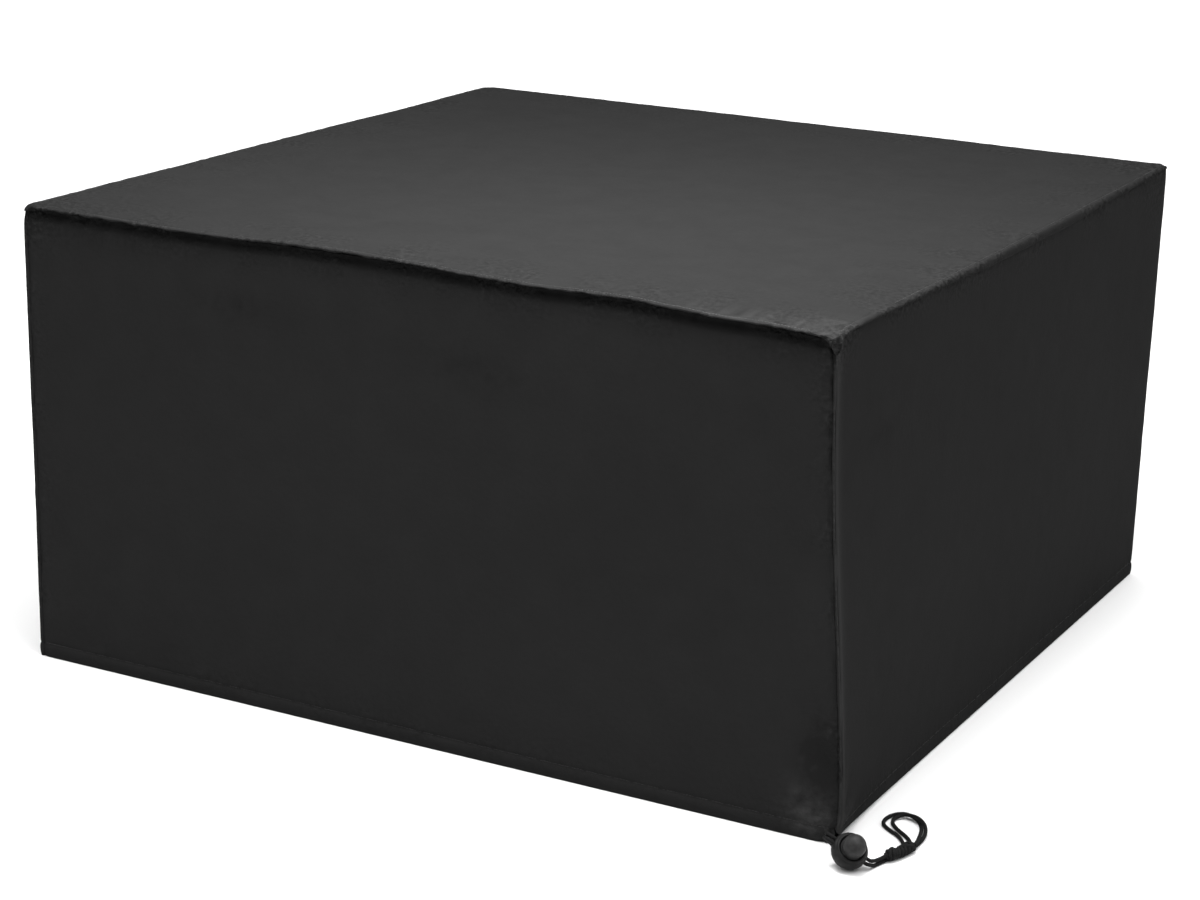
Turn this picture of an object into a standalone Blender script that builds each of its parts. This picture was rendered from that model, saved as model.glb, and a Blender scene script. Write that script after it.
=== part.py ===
"""A fitted, box-shaped cloth cover for garden furniture, standing hollow on its hem.

Five panels of coated cloth meet in turned-in seams. At one corner of the hem two strands of elastic
cord come out, pass through a push-button cord lock and are knotted into a pull loop.
Metres, +Z up, origin on the floor under the middle of the cover. The front faces -Y.
"""

import math
from collections import namedtuple

import bpy
from mathutils import Matrix, Vector

# Driving dimensions, metres
LENGTH = 1.376  # of the front and back walls
DEPTH = 1.374  # of the right and left walls
CROWN = 0.738  # height of the flat middle of the top
CLOTH = 0.002  # thickness of a panel
SEAM_GAP = 0.0004  # between two panels at a seam
CORNER_ROUND = 0.0011  # how far an upright corner is rounded off, along each wall
GROOVE = 0.0020  # how far the panels turn in at an upright seam
GROOVE_SLOPE = 0.0007  # and at the front and back walls' next station
SEAM_SWELL = 0.0005  # how far a wrapped wall swells out between its corner and the seam
HEM = 0.024  # height of the turned-up hem
CORD = 0.0055  # diameter of the elastic cord
CORD_STEP = 1.9 * CORD  # between the points of a cord's tube
FLOOR_GAP = 0.0003  # under what lies on the floor

# Corner posts of the cover, anticlockwise from above: the outline leans and is not quite square.
Corner = namedtuple("Corner", "top_x top_y top_z hem_x hem_y")
CORNERS = (
    Corner(-0.7015, -0.6915, 0.7415, -0.6965, -0.6865),
    Corner(0.6745, -0.6920, 0.7310, 0.6947, -0.6828),
    Corner(0.6800, 0.6885, 0.7485, 0.6765, 0.6815),
    Corner(-0.6895, 0.6905, 0.7405, -0.6925, 0.6860),
)
NEAR = 1  # the corner whose hem the drawcord pulls in

# Walls, each from its own corner to the next. tuck is how far the wall turns in under the top's rim.
Side = namedtuple("Side", "name out_x out_y length tuck")
SIDES = (
    Side("front", 0, -1, LENGTH, 0.0045),
    Side("right", 1, 0, DEPTH, 0.0025),
    Side("back", 0, 1, LENGTH, 0.0030),
    Side("left", -1, 0, DEPTH, 0.0030),
)
FRONT, RIGHT, BACK, LEFT = range(4)

# The top edge along each wall: share of the way, height of the edge, and drop from it to the seam.
EdgeRow = namedtuple("EdgeRow", "share top drop")
EDGES = (
    (
        EdgeRow(0.00, 0.7415, 0.009),
        EdgeRow(0.09, 0.7418, 0.010),
        EdgeRow(0.19, 0.7407, 0.010),
        EdgeRow(0.28, 0.7422, 0.010),
        EdgeRow(0.36, 0.7470, 0.012),
        EdgeRow(0.43, 0.7476, 0.012),
        EdgeRow(0.51, 0.7458, 0.011),
        EdgeRow(0.60, 0.7418, 0.010),
        EdgeRow(0.66, 0.7403, 0.010),
        EdgeRow(0.72, 0.7428, 0.010),
        EdgeRow(0.77, 0.7436, 0.010),
        EdgeRow(0.82, 0.7402, 0.011),
        EdgeRow(0.87, 0.7368, 0.010),
        EdgeRow(0.92, 0.7375, 0.011),
        EdgeRow(0.97, 0.7348, 0.011),
        EdgeRow(1.00, 0.7310, 0.011),
    ),
    (
        EdgeRow(0.00, 0.7310, 0.011),
        EdgeRow(0.03, 0.7385, 0.006),
        EdgeRow(0.25, 0.7380, 0.010),
        EdgeRow(0.43, 0.7385, 0.016),
        EdgeRow(0.62, 0.7405, 0.017),
        EdgeRow(0.82, 0.7430, 0.011),
        EdgeRow(0.97, 0.7460, 0.007),
        EdgeRow(1.00, 0.7485, 0.008),
    ),
    (
        EdgeRow(0.00, 0.7485, 0.008),
        EdgeRow(0.03, 0.7465, 0.009),
        EdgeRow(0.30, 0.7458, 0.012),
        EdgeRow(0.55, 0.7440, 0.010),
        EdgeRow(0.80, 0.7422, 0.012),
        EdgeRow(1.00, 0.7405, 0.009),
    ),
    (
        EdgeRow(0.00, 0.7405, 0.009),
        EdgeRow(0.25, 0.7400, 0.012),
        EdgeRow(0.50, 0.7420, 0.014),
        EdgeRow(0.75, 0.7415, 0.012),
        EdgeRow(1.00, 0.7415, 0.009),
    ),
)

# The rim of the top, from the seam up over the edge: inset from the wall, and share of the drop.
Ring = namedtuple("Ring", "inset below")
LIP = Ring(-0.0015, 0.50)
ROLL = Ring(0.0045, 0.12)

# Distances from a corner at which every wall and the top have their first stations.
NEAR_STATIONS = (0.0037, 0.0068, 0.015, 0.034)
SEAM_AT = NEAR_STATIONS[1]  # the upright seams lie this far round the corner, on the front and back
SPANS = 14  # equal spans between the last near stations

# Rows of a wall. Below: height above the floor and how far the cloth stands out there.
HemRow = namedtuple("HemRow", "height out")
HEM_ROWS = (HemRow(0.0, 0.0), HemRow(0.013, 0.0012), HemRow(HEM, -0.0008), HemRow(0.038, 0.0))
MIDDLE_ROWS = 5
# Above: distance below the seam and share of the side's tuck.
TuckRow = namedtuple("TuckRow", "below share")
TUCK_ROWS = (TuckRow(0.045, 0.0), TuckRow(0.014, 0.30), TuckRow(0.005, 0.75), TuckRow(0.0, 1.0))

# The mouth for the drawcord: in the hem's lowest rows the front wall runs on, almost to the near
# corner, and the right wall starts a little way beyond it.
MOUTH_ROWS = 2
MOUTH_FROM = 0.0045  # before the corner
MOUTH_STATIONS = (0.0090, 0.0099, 0.0109, 0.0120, 0.0132)  # beyond it

# The drawcord draws the near corner's hem in, so that the cloth above it stands out to the right.
STAND_OUT = 0.0215
STAND_OUT_FROM = 0.05  # it fades between these heights
STAND_OUT_TO = 0.60
STAND_OUT_REACH = 0.12
DRAWN_IN = 0.014

# Soft folds of the walls: share along, height, half reach along and up, lean in degrees, amount.
Fold = namedtuple("Fold", "share height reach tall lean amount")
FOLDS = (
    (
        Fold(0.16, 0.48, 0.26, 0.07, 24, -0.0030),
        Fold(0.38, 0.30, 0.30, 0.13, -12, 0.0035),
        Fold(0.43, 0.55, 0.16, 0.05, 28, -0.0030),
        Fold(0.66, 0.22, 0.34, 0.12, 15, -0.0040),
        Fold(0.83, 0.50, 0.22, 0.16, -35, 0.0030),
    ),
    (
        Fold(0.20, 0.25, 0.20, 0.18, 30, 0.0040),
        Fold(0.40, 0.45, 0.24, 0.06, -18, -0.0030),
        Fold(0.62, 0.25, 0.30, 0.14, 12, 0.0035),
        Fold(0.85, 0.50, 0.12, 0.20, 8, -0.0030),
    ),
    (
        Fold(0.15, 0.50, 0.20, 0.10, -30, 0.0040),
        Fold(0.36, 0.28, 0.28, 0.12, 18, -0.0040),
        Fold(0.60, 0.50, 0.26, 0.08, -15, 0.0035),
        Fold(0.82, 0.25, 0.24, 0.13, 25, -0.0035),
    ),
    (
        Fold(0.18, 0.28, 0.24, 0.14, 22, -0.0035),
        Fold(0.40, 0.50, 0.22, 0.08, -20, 0.0040),
        Fold(0.63, 0.28, 0.30, 0.13, 10, -0.0035),
        Fold(0.85, 0.50, 0.16, 0.12, 32, 0.0030),
    ),
)
FOLD_FREE = 0.10  # folds fade out over this distance from a corner, the hem and the seam

# Soft ridges on the top, near its corners and edges: plan place, half lengths, direction, amount.
Ridge = namedtuple("Ridge", "x y reach wide turn amount")
RIDGES = (
    Ridge(0.56, -0.55, 0.14, 0.045, 38, 0.0020),
    Ridge(0.52, 0.57, 0.16, 0.050, -42, 0.0025),
    Ridge(-0.55, -0.50, 0.18, 0.060, -28, 0.0020),
    Ridge(-0.50, 0.56, 0.16, 0.055, 40, -0.0020),
    Ridge(-0.15, -0.60, 0.24, 0.050, 5, 0.0015),
)
FLAT_FROM = 0.30  # from this distance inside the edge the top lies flat on what it covers

# Cord lock: a turned barrel with a sprung push button, lying against the floor on its rounded end.
LOCK_CENTRE = Vector((0.7523, -0.7397, 0.0266))
LOCK_TURN = math.radians(-39.8)  # the way the button faces, from +X
LOCK_RISE = math.radians(44.3)  # and how far it looks up
RUN_TURN = math.radians(19.0)  # the way the strands run through it
RUN_DIP = math.radians(-31.5)
STRAND_APART = 0.0036  # each strand's distance from the barrel's middle
BORE = 0.0170
BORE_FLOOR = -0.0130
HOLE = 0.0040
HOLE_STEPS = 16
CUT_LONG = 0.06  # a cutter's length, right through the barrel
STRAND_STOPS = (-0.0290, -0.013, 0, 0.013, 0.0270)  # points of a strand where it runs straight
BUTTON = 0.0165
BUTTON_FOOT = -0.0085
SLOT_WIDE = 0.0068
SLOT_LOW = -0.0034
SLOT_HIGH = 0.0076
TURNED_STEPS = 28

# Turned outlines, top to bottom: radius, height along the axis.
BARREL_OUTLINE = (
    (0.0000, BORE_FLOOR),
    (BORE, BORE_FLOOR),
    (BORE, 0.0075),
    (0.0180, 0.0095),
    (0.0190, 0.0105),
    (0.0203, 0.0106),
    (0.0216, 0.0096),
    (0.0222, 0.0082),
    (0.0229, 0.0074),
    (0.0243, 0.0060),
    (0.0255, 0.0026),
    (0.0260, -0.0020),
    (0.0247, -0.0085),
    (0.0214, -0.0150),
    (0.0169, -0.0198),
    (0.0110, -0.0230),
    (0.0000, -0.0242),
)
BUTTON_OUTLINE = (
    (0.0000, 0.0345),
    (0.0055, 0.0335),
    (0.0105, 0.0308),
    (0.0142, 0.0266),
    (0.0161, 0.0216),
    (0.0165, 0.0176),
    (0.0161, 0.0140),
    (0.0157, 0.0122),
    (0.0157, 0.0106),
    (BUTTON, 0.0096),
    (BUTTON, BUTTON_FOOT),
    (0.0000, BUTTON_FOOT),
)

# The knot in the doubled cord, from the lock's side to the loop's: centre, radius.
KnotRow = namedtuple("KnotRow", "x y z radius")
KNOT_ROWS = (
    KnotRow(0.7874, -0.6942, 0.0064, 0.0078),
    KnotRow(0.7912, -0.6855, 0.0098, 0.0092),
    KnotRow(0.7965, -0.6765, 0.0088, 0.0078),
    KnotRow(0.8006, -0.6640, 0.0085, 0.0080),
    KnotRow(0.8026, -0.6500, 0.0088, 0.0088),
    KnotRow(0.8016, -0.6390, 0.0080, 0.0085),
)
KNOT_WRAPS = 3
KNOT_RIDGE = 0.10  # height of a wrap, as a share of the radius
KNOT_BLUNT = 3.2  # how fast the knot swells from its ends
KNOT_STEPS = 20
KNOT_RINGS = 14

# Routes of the cord, as points that its middle passes through. In: from inside the hem's mouth to
# the lock. Out: from the lock down to the floor and the knot.
LIES = CORD / 2 + FLOOR_GAP
UPPER_IN = (
    (0.6925, -0.6730, 0.0086),
    (0.7005, -0.6768, 0.0086),
    (0.7048, -0.6828, 0.0090),
    (0.7098, -0.6908, 0.0125),
    (0.7121, -0.7020, 0.0190),
    (0.7137, -0.7190, 0.0306),
    (0.7156, -0.7362, 0.0421),
    (0.7180, -0.7409, 0.0445),
    (0.7229, -0.7439, 0.0447),
)
LOWER_IN = (
    (0.6880, -0.6748, 0.0031),
    (0.6955, -0.6774, 0.0031),
    (0.7005, -0.6825, 0.0034),
    (0.7060, -0.6910, 0.0055),
    (0.7090, -0.7030, 0.0125),
    (0.7120, -0.7225, 0.0255),
    (0.7152, -0.7427, 0.0385),
    (0.7177, -0.7473, 0.0407),
    (0.7226, -0.7501, 0.0409),
)
UPPER_OUT = (
    (0.7784, -0.7242, 0.0114),
    (0.7812, -0.7150, 0.0098),
    (0.7842, -0.7045, 0.0095),
    (0.7862, -0.6985, 0.0092),
    (0.7872, -0.6949, 0.0092),
)
LOWER_OUT = (
    (0.7776, -0.7320, 0.0090),
    (0.7796, -0.7250, 0.0054),
    (0.7812, -0.7170, LIES),
    (0.7838, -0.7070, LIES),
    (0.7862, -0.6990, LIES),
    (0.7872, -0.6949, LIES),
)
# The loop: the strands run twisted together for a while and come back apart.
PAIR_RADIUS = 0.0031  # of each strand about the middle of the twisted pair
PAIR_LIES = LIES + PAIR_RADIUS
PAIR_PITCH = 0.145
PAIR_STEP = PAIR_PITCH / 12
PAIR_START = math.radians(50)
PAIR_ROUTE = (
    (0.8048, -0.6372),
    (0.8052, -0.6270),
    (0.8045, -0.6160),
    (0.8027, -0.6037),
    (0.7992, -0.5880),
    (0.7935, -0.5730),
    (0.7850, -0.5590),
    (0.7740, -0.5478),
    (0.7625, -0.5420),
    (0.7530, -0.5412),
)
OUTER_RETURN = (
    (0.7405, -0.5425, 0.0046),
    (0.7340, -0.5515, 0.0033),
    (0.7318, -0.5645, LIES),
    (0.7345, -0.5785, LIES),
    (0.7425, -0.5893, LIES),
    (0.7535, -0.5980, LIES),
    (0.7645, -0.6052, LIES),
    (0.7748, -0.6142, LIES),
    (0.7828, -0.6240, LIES),
    (0.7885, -0.6335, LIES),
    (0.7918, -0.6402, LIES),
)
INNER_RETURN = (
    (0.7455, -0.5500, 0.0046),
    (0.7425, -0.5600, 0.0033),
    (0.7455, -0.5710, LIES),
    (0.7535, -0.5820, LIES),
    (0.7645, -0.5925, LIES),
    (0.7755, -0.6012, LIES),
    (0.7855, -0.6105, LIES),
    (0.7922, -0.6195, LIES),
    (0.7955, -0.6285, LIES),
    (0.7968, -0.6370, LIES),
)


def between(low, high, share):
    return low + (high - low) * share


def smooth(share):
    """0 below 0, 1 above 1, with a soft start and end."""
    share = min(1.0, max(0.0, share))
    return share * share * (3 - 2 * share)


def outward(side):
    return Vector((SIDES[side].out_x, SIDES[side].out_y, 0))


def edge_at(side, share):
    """The top edge's height and its drop to the seam, at a share of the way along a wall."""
    rows = EDGES[side]
    for row, after in zip(rows, rows[1:]):
        if share <= after.share:
            part = smooth((share - row.share) / (after.share - row.share))
            return between(row.top, after.top, part), between(row.drop, after.drop, part)
    return rows[-1].top, rows[-1].drop


def seam_height(side, along):
    top, drop = edge_at(side, along / SIDES[side].length)
    return top - drop


def post_at(corner, height):
    """The corner's sharp upright edge at a height."""
    post = CORNERS[corner]
    share = height / post.top_z
    return Vector((between(post.hem_x, post.top_x, share), between(post.hem_y, post.top_y, share), height))


def stand_out(side, along, height):
    """How far the cloth above the drawn-in hem stands out to the right."""
    if side == FRONT:
        away = LENGTH - along
    elif side == RIGHT:
        away = along
    else:
        return 0.0
    fade = smooth((height - STAND_OUT_FROM) / (STAND_OUT_TO - STAND_OUT_FROM))
    rise = (1 - math.exp(-height / DRAWN_IN)) * (1 - fade)
    return STAND_OUT * rise * math.exp(-away / STAND_OUT_REACH)


def fold_depth(side, along, height):
    total = 0.0
    for fold in FOLDS[side]:
        across = along - fold.share * SIDES[side].length
        up = height - fold.height
        lean = math.radians(fold.lean)
        run = (across * math.cos(lean) + up * math.sin(lean)) / fold.reach
        rise = (up * math.cos(lean) - across * math.sin(lean)) / fold.tall
        total += fold.amount * math.exp(-run * run - rise * rise)
    ends = min(along, SIDES[side].length - along)
    low_high = min(height, seam_height(side, along) - height)
    return total * smooth(ends / FOLD_FREE) * smooth(low_high / FOLD_FREE)


def wall_point(side, along, height, inset=0.0):
    """A point of the cover's outer face. Along 0 is the rounded corner where the wall starts."""
    if along == 0:
        diagonal = outward(side) + outward(side - 1)
        point = post_at(side, height) - diagonal * (CORNER_ROUND + inset * math.sqrt(0.5))
    else:
        share = along / SIDES[side].length
        start, end = post_at(side, height), post_at((side + 1) % 4, height)
        point = start.lerp(end, share)
        point += outward(side) * (fold_depth(side, along, height) - inset)
    point.x += stand_out(side, along, height)
    return point


def stations(length):
    """Distances along a wall, close together near both corners."""
    first, last = NEAR_STATIONS[-1], length - NEAR_STATIONS[-1]
    middle = [between(first, last, k / SPANS) for k in range(1, SPANS)]
    near = list(NEAR_STATIONS)
    return near + middle + [length - station for station in reversed(near)]


def new_collection(name):
    collection = bpy.data.collections.new(name)
    bpy.context.scene.collection.children.link(collection)
    return collection


def move_to(obj, collection):
    for held in list(obj.users_collection):
        held.objects.unlink(obj)
    collection.objects.link(obj)


def make_material(name, color, roughness):
    material = bpy.data.materials.new(name)
    material.use_nodes = True
    shader = material.node_tree.nodes["Principled BSDF"]
    shader.inputs["Base Color"].default_value = (*color, 1)
    shader.inputs["Roughness"].default_value = roughness
    shader.inputs["Metallic"].default_value = 0
    material.diffuse_color = (*color, 1)
    return material


def finish_piece(obj, name, material):
    obj.name = name
    obj.data.name = name
    obj.data.materials.clear()
    obj.data.materials.append(material)
    move_to(obj, parts)
    return obj


def add_sheet(name, columns, rows, place, material):
    """A grid of columns by rows points, each put in its place and given the cloth's thickness."""
    bpy.ops.mesh.primitive_grid_add(x_subdivisions=columns - 1, y_subdivisions=rows - 1, size=2)
    sheet = finish_piece(bpy.context.active_object, name, material)
    for vertex in sheet.data.vertices:
        column = round((vertex.co.x + 1) / 2 * (columns - 1))
        row = round((vertex.co.y + 1) / 2 * (rows - 1))
        vertex.co = place(column, row)
    thick = sheet.modifiers.new("cloth", "SOLIDIFY")
    thick.thickness = CLOTH
    thick.offset = -1
    thick.use_even_offset = True
    sheet.data.shade_smooth()
    return sheet


def add_wall(name, columns, material, hem_columns=None):
    """A wall from the hem to the top seam. Each column is (side, along, how far it turns in), and
    hem_columns has those that are elsewhere in the rows of the drawcord's mouth."""
    hem_columns = hem_columns or {}
    rows = len(HEM_ROWS) + MIDDLE_ROWS + len(TUCK_ROWS)

    def place(column, row):
        side, along, turned_in = columns[column]
        seam = seam_height(side, along)
        high = seam - TUCK_ROWS[0].below
        tuck = SIDES[side].tuck
        if along == 0:
            tuck = (tuck + SIDES[side - 1].tuck) / 2
        if row < len(HEM_ROWS):
            hem = HEM_ROWS[row]
            if row < MOUTH_ROWS:
                side, along, turned_in = hem_columns.get(column, columns[column])
            return wall_point(side, along, hem.height, turned_in - hem.out)
        if row < len(HEM_ROWS) + MIDDLE_ROWS:
            share = (row - len(HEM_ROWS) + 1) / (MIDDLE_ROWS + 1)
            return wall_point(side, along, between(HEM_ROWS[-1].height, high, share), turned_in)
        level = TUCK_ROWS[row - len(HEM_ROWS) - MIDDLE_ROWS]
        return wall_point(side, along, seam - level.below, max(turned_in, tuck * level.share))

    return add_sheet(name, len(columns), rows, place, material)


def flat_wall_columns(side):
    """The front and back walls stop at the upright seams and turn in there."""
    length = SIDES[side].length
    middle = [along for along in stations(length) if SEAM_AT < along < length - SEAM_AT]
    turned_in = [GROOVE_SLOPE] + [0] * (len(middle) - 2) + [GROOVE_SLOPE]
    inner = [(side, along, depth) for along, depth in zip(middle, turned_in)]
    seam = SEAM_AT + SEAM_GAP
    return [(side, seam, GROOVE)] + inner + [(side, length - seam, GROOVE)]


def wrapped_wall_columns(side):
    """The right and left walls go round both of their corners to the seams."""
    before, after = (side - 1) % 4, (side + 1) % 4
    round_one = [(before, SIDES[before].length - SEAM_AT, GROOVE)]
    round_one += [(before, SIDES[before].length - NEAR_STATIONS[0], -SEAM_SWELL), (side, 0, 0)]
    flat = [(side, along, 0) for along in stations(SIDES[side].length)]
    round_two = [(after, 0, 0), (after, NEAR_STATIONS[0], -SEAM_SWELL), (after, SEAM_AT, GROOVE)]
    return round_one + flat + round_two


def add_top(name, material):
    """The top lies flat in its middle, and its rim rolls over the edge down to the seam."""
    xs = [0] + stations(LENGTH) + [LENGTH]
    ys = [0] + stations(DEPTH) + [DEPTH]
    tops = [Vector((post.top_x, post.top_y, 0)) for post in CORNERS]

    def rim_point(side, along, ring):
        top, drop = edge_at(side, along / SIDES[side].length)
        tuck = SIDES[side].tuck
        if along == 0:
            tuck = (tuck + SIDES[side - 1].tuck) / 2
        level = (Ring(tuck, 1.0), LIP, ROLL)[ring]
        gap = SEAM_GAP if ring == 0 else 0
        return wall_point(side, along, top - drop * level.below + gap, level.inset)

    def crown_height(u, v):
        front, back = edge_at(FRONT, u)[0], edge_at(BACK, 1 - u)[0]
        right, left = edge_at(RIGHT, v)[0], edge_at(LEFT, 1 - v)[0]
        c = [post.top_z for post in CORNERS]
        across = between(front, back, v) + between(left, right, u)
        height = across - between(between(c[0], c[1], u), between(c[3], c[2], u), v)
        inside = min(u, 1 - u) * LENGTH, min(v, 1 - v) * DEPTH
        return between(height, CROWN, smooth(min(inside) / FLAT_FROM))

    def crown_point(u, v):
        place = tops[0].lerp(tops[1], u).lerp(tops[3].lerp(tops[2], u), v)
        place.z = crown_height(u, v)
        for ridge in RIDGES:
            away = Vector((place.x - ridge.x, place.y - ridge.y))
            turn = math.radians(ridge.turn)
            run = (away.x * math.cos(turn) + away.y * math.sin(turn)) / ridge.reach
            side = (away.y * math.cos(turn) - away.x * math.sin(turn)) / ridge.wide
            place.z += ridge.amount * math.exp(-run * run - side * side)
        return place

    def place(column, row):
        last_x, last_y = len(xs) - 1, len(ys) - 1
        ring = min(column, row, last_x - column, last_y - row)
        if ring > 2:
            return crown_point(xs[column] / LENGTH, ys[row] / DEPTH)
        on_front, on_back = row == ring, row == last_y - ring
        on_right, on_left = column == last_x - ring, column == ring
        if on_front and on_left:
            return rim_point(FRONT, 0, ring)
        if on_front and on_right:
            return rim_point(RIGHT, 0, ring)
        if on_back and on_right:
            return rim_point(BACK, 0, ring)
        if on_back and on_left:
            return rim_point(LEFT, 0, ring)
        if on_front:
            return rim_point(FRONT, xs[column], ring)
        if on_right:
            return rim_point(RIGHT, ys[row], ring)
        if on_back:
            return rim_point(BACK, LENGTH - xs[column], ring)
        return rim_point(LEFT, DEPTH - ys[row], ring)

    return add_sheet(name, len(xs), len(ys), place, material)


SUBSTEPS = 20  # fine steps between two given points of a route


def smooth_route(points, step):
    """Points about a step apart on a smooth curve through the given ones."""
    points = [Vector(point) for point in points]
    held = [2 * points[0] - points[1]] + points + [2 * points[-1] - points[-2]]
    fine = []
    for before, start, end, after in zip(held, held[1:], held[2:], held[3:]):
        for k in range(SUBSTEPS):
            t = k / SUBSTEPS
            bend = 2 * start + (end - before) * t
            bend += (2 * before - 5 * start + 4 * end - after) * t**2
            bend += (3 * start - before - 3 * end + after) * t**3
            fine.append(bend / 2)
    fine.append(points[-1])
    run = [0.0]
    for start, end in zip(fine, fine[1:]):
        run.append(run[-1] + (end - start).length)
    count = max(2, round(run[-1] / step))
    route, k = [], 0
    for n in range(count + 1):
        target = run[-1] * n / count
        while k < len(run) - 2 and run[k + 1] < target:
            k += 1
        route.append(fine[k].lerp(fine[k + 1], (target - run[k]) / (run[k + 1] - run[k])))
    return route


def twisted_strand(route, phase):
    """One strand of a pair twisted round a route that lies on the floor."""
    strand, run = [], 0.0
    for n, point in enumerate(route):
        if n:
            run += (point - route[n - 1]).length
        ahead = route[min(n + 1, len(route) - 1)] - route[max(n - 1, 0)]
        aside = ahead.cross(Vector((0, 0, 1))).normalized()
        angle = PAIR_START + phase + 2 * math.pi * run / PAIR_PITCH
        strand.append(point + PAIR_RADIUS * (aside * math.cos(angle) + Vector((0, 0, math.sin(angle)))))
    return strand


def add_cord(name, points, material):
    curve = bpy.data.curves.new(name, "CURVE")
    curve.dimensions = "3D"
    curve.bevel_depth = CORD / 2
    curve.bevel_resolution = 2
    curve.use_fill_caps = True
    spline = curve.splines.new("POLY")
    spline.points.add(len(points) - 1)
    for held, point in zip(spline.points, points):
        held.co = (*point, 1)
    cord = bpy.data.objects.new(name, curve)
    curve.materials.append(material)
    parts.objects.link(cord)
    return cord


def add_knot(name, material):
    """A lumpy knot: a stretched ball along its rows, with the cord's wraps as slanted ridges."""
    bpy.ops.mesh.primitive_uv_sphere_add(segments=KNOT_STEPS, ring_count=KNOT_RINGS, radius=1)
    knot = finish_piece(bpy.context.active_object, name, material)
    middles = [Vector((row.x, row.y, row.z)) for row in KNOT_ROWS]
    last = len(KNOT_ROWS) - 1
    for vertex in knot.data.vertices:
        share = math.acos(max(-1.0, min(1.0, vertex.co.z))) / math.pi
        around = math.atan2(vertex.co.y, vertex.co.x)
        row = min(last - 1, int(share * last))
        part = share * last - row
        middle = middles[row].lerp(middles[row + 1], part)
        ahead = (middles[row + 1] - middles[row]).normalized()
        aside = ahead.cross(Vector((0, 0, 1))).normalized()
        above = aside.cross(ahead)
        full = min(1.0, KNOT_BLUNT * math.sqrt(max(0.0, share * (1 - share))))
        wrap = 1 + KNOT_RIDGE * math.cos(around + 2 * math.pi * KNOT_WRAPS * share)
        radius = between(KNOT_ROWS[row].radius, KNOT_ROWS[row + 1].radius, part) * full * wrap
        vertex.co = middle + (aside * math.cos(around) + above * math.sin(around)) * radius
        vertex.co.z = max(vertex.co.z, FLOOR_GAP)
    knot.data.shade_smooth()
    return knot


def add_turned(name, outline, holder, material):
    """An outline turned round the holder's own Z axis."""
    mesh = bpy.data.meshes.new(name)
    edges = [(k, k + 1) for k in range(len(outline) - 1)]
    mesh.from_pydata([(radius, 0, height) for radius, height in outline], edges, [])
    turned = bpy.data.objects.new(name, mesh)
    mesh.materials.append(material)
    parts.objects.link(turned)
    turned.parent = holder
    screw = turned.modifiers.new("turn", "SCREW")
    screw.steps = TURNED_STEPS
    screw.render_steps = TURNED_STEPS
    screw.use_merge_vertices = True
    screw.merge_threshold = 0.00005
    return turned


def cut_with(obj, cutter):
    """Take the cutter out of the object and keep the cutter as a wire guide."""
    move_to(cutter, cutters)
    cutter.hide_render = True
    cutter.display_type = "WIRE"
    cut = obj.modifiers.new("cut_" + cutter.name, "BOOLEAN")
    cut.operation = "DIFFERENCE"
    cut.solver = "EXACT"
    cut.object = cutter


def lock_axes():
    """Unit vectors of the lock: along the strands, from strand to strand, and out of the button."""
    flat = math.cos(LOCK_RISE)
    button = Vector((flat * math.cos(LOCK_TURN), flat * math.sin(LOCK_TURN), math.sin(LOCK_RISE)))
    level = math.cos(RUN_DIP)
    run = Vector((level * math.cos(RUN_TURN), level * math.sin(RUN_TURN), math.sin(RUN_DIP)))
    run = (run - button * run.dot(button)).normalized()
    return run, button.cross(run), button


def add_lock(material):
    """The cord lock: barrel with two cord holes, and button with a window for each strand."""
    run, apart, button_way = lock_axes()
    holder = bpy.data.objects.new("lock_axis", None)
    parts.objects.link(holder)
    turn = Matrix((run, apart, button_way)).transposed().to_4x4()
    holder.matrix_world = Matrix.Translation(LOCK_CENTRE) @ turn
    barrel = add_turned("toggle_barrel", BARREL_OUTLINE, holder, material)
    button = add_turned("toggle_button", BUTTON_OUTLINE, holder, material)
    for strand, aside in (("upper", STRAND_APART), ("lower", -STRAND_APART)):
        bpy.ops.mesh.primitive_cylinder_add(vertices=HOLE_STEPS, radius=HOLE, depth=CUT_LONG)
        hole = bpy.context.active_object
        hole.name = "hole_" + strand
        hole.rotation_euler = (0, math.pi / 2, 0)
        hole.parent = holder
        hole.location = (0, aside, 0)
        cut_with(barrel, hole)
        bpy.ops.mesh.primitive_cube_add(size=1)
        window = bpy.context.active_object
        window.name = "window_" + strand
        window.parent = holder
        window.scale = (CUT_LONG, SLOT_WIDE, SLOT_HIGH - SLOT_LOW)
        window.location = (0, aside, (SLOT_HIGH + SLOT_LOW) / 2)
        cut_with(button, window)


def strand_through_lock(aside):
    """A strand's straight run through the lock's holes."""
    run, apart, _ = lock_axes()
    middle = LOCK_CENTRE + apart * aside
    return [middle + run * stop for stop in STRAND_STOPS]


for old in list(bpy.data.objects):
    bpy.data.objects.remove(old, do_unlink=True)
parts = new_collection("patio_furniture_cover")
cutters = new_collection("cutters")

coated_cloth = make_material("coated_cloth", (0.022, 0.022, 0.023), 0.62)
elastic_cord = make_material("elastic_cord", (0.012, 0.012, 0.012), 0.80)
moulded_plastic = make_material("moulded_plastic", (0.015, 0.015, 0.015), 0.35)

add_top("top_panel", coated_cloth)
columns = flat_wall_columns(FRONT)
add_wall("front_panel", columns, coated_cloth, {len(columns) - 1: (FRONT, LENGTH - MOUTH_FROM, 0)})
beyond = {column: (RIGHT, along, 0) for column, along in enumerate(MOUTH_STATIONS)}
add_wall("right_panel", wrapped_wall_columns(RIGHT), coated_cloth, beyond)
add_wall("back_panel", flat_wall_columns(BACK), coated_cloth)
add_wall("left_panel", wrapped_wall_columns(LEFT), coated_cloth)

add_lock(moulded_plastic)
add_knot("knot", elastic_cord)

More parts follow.
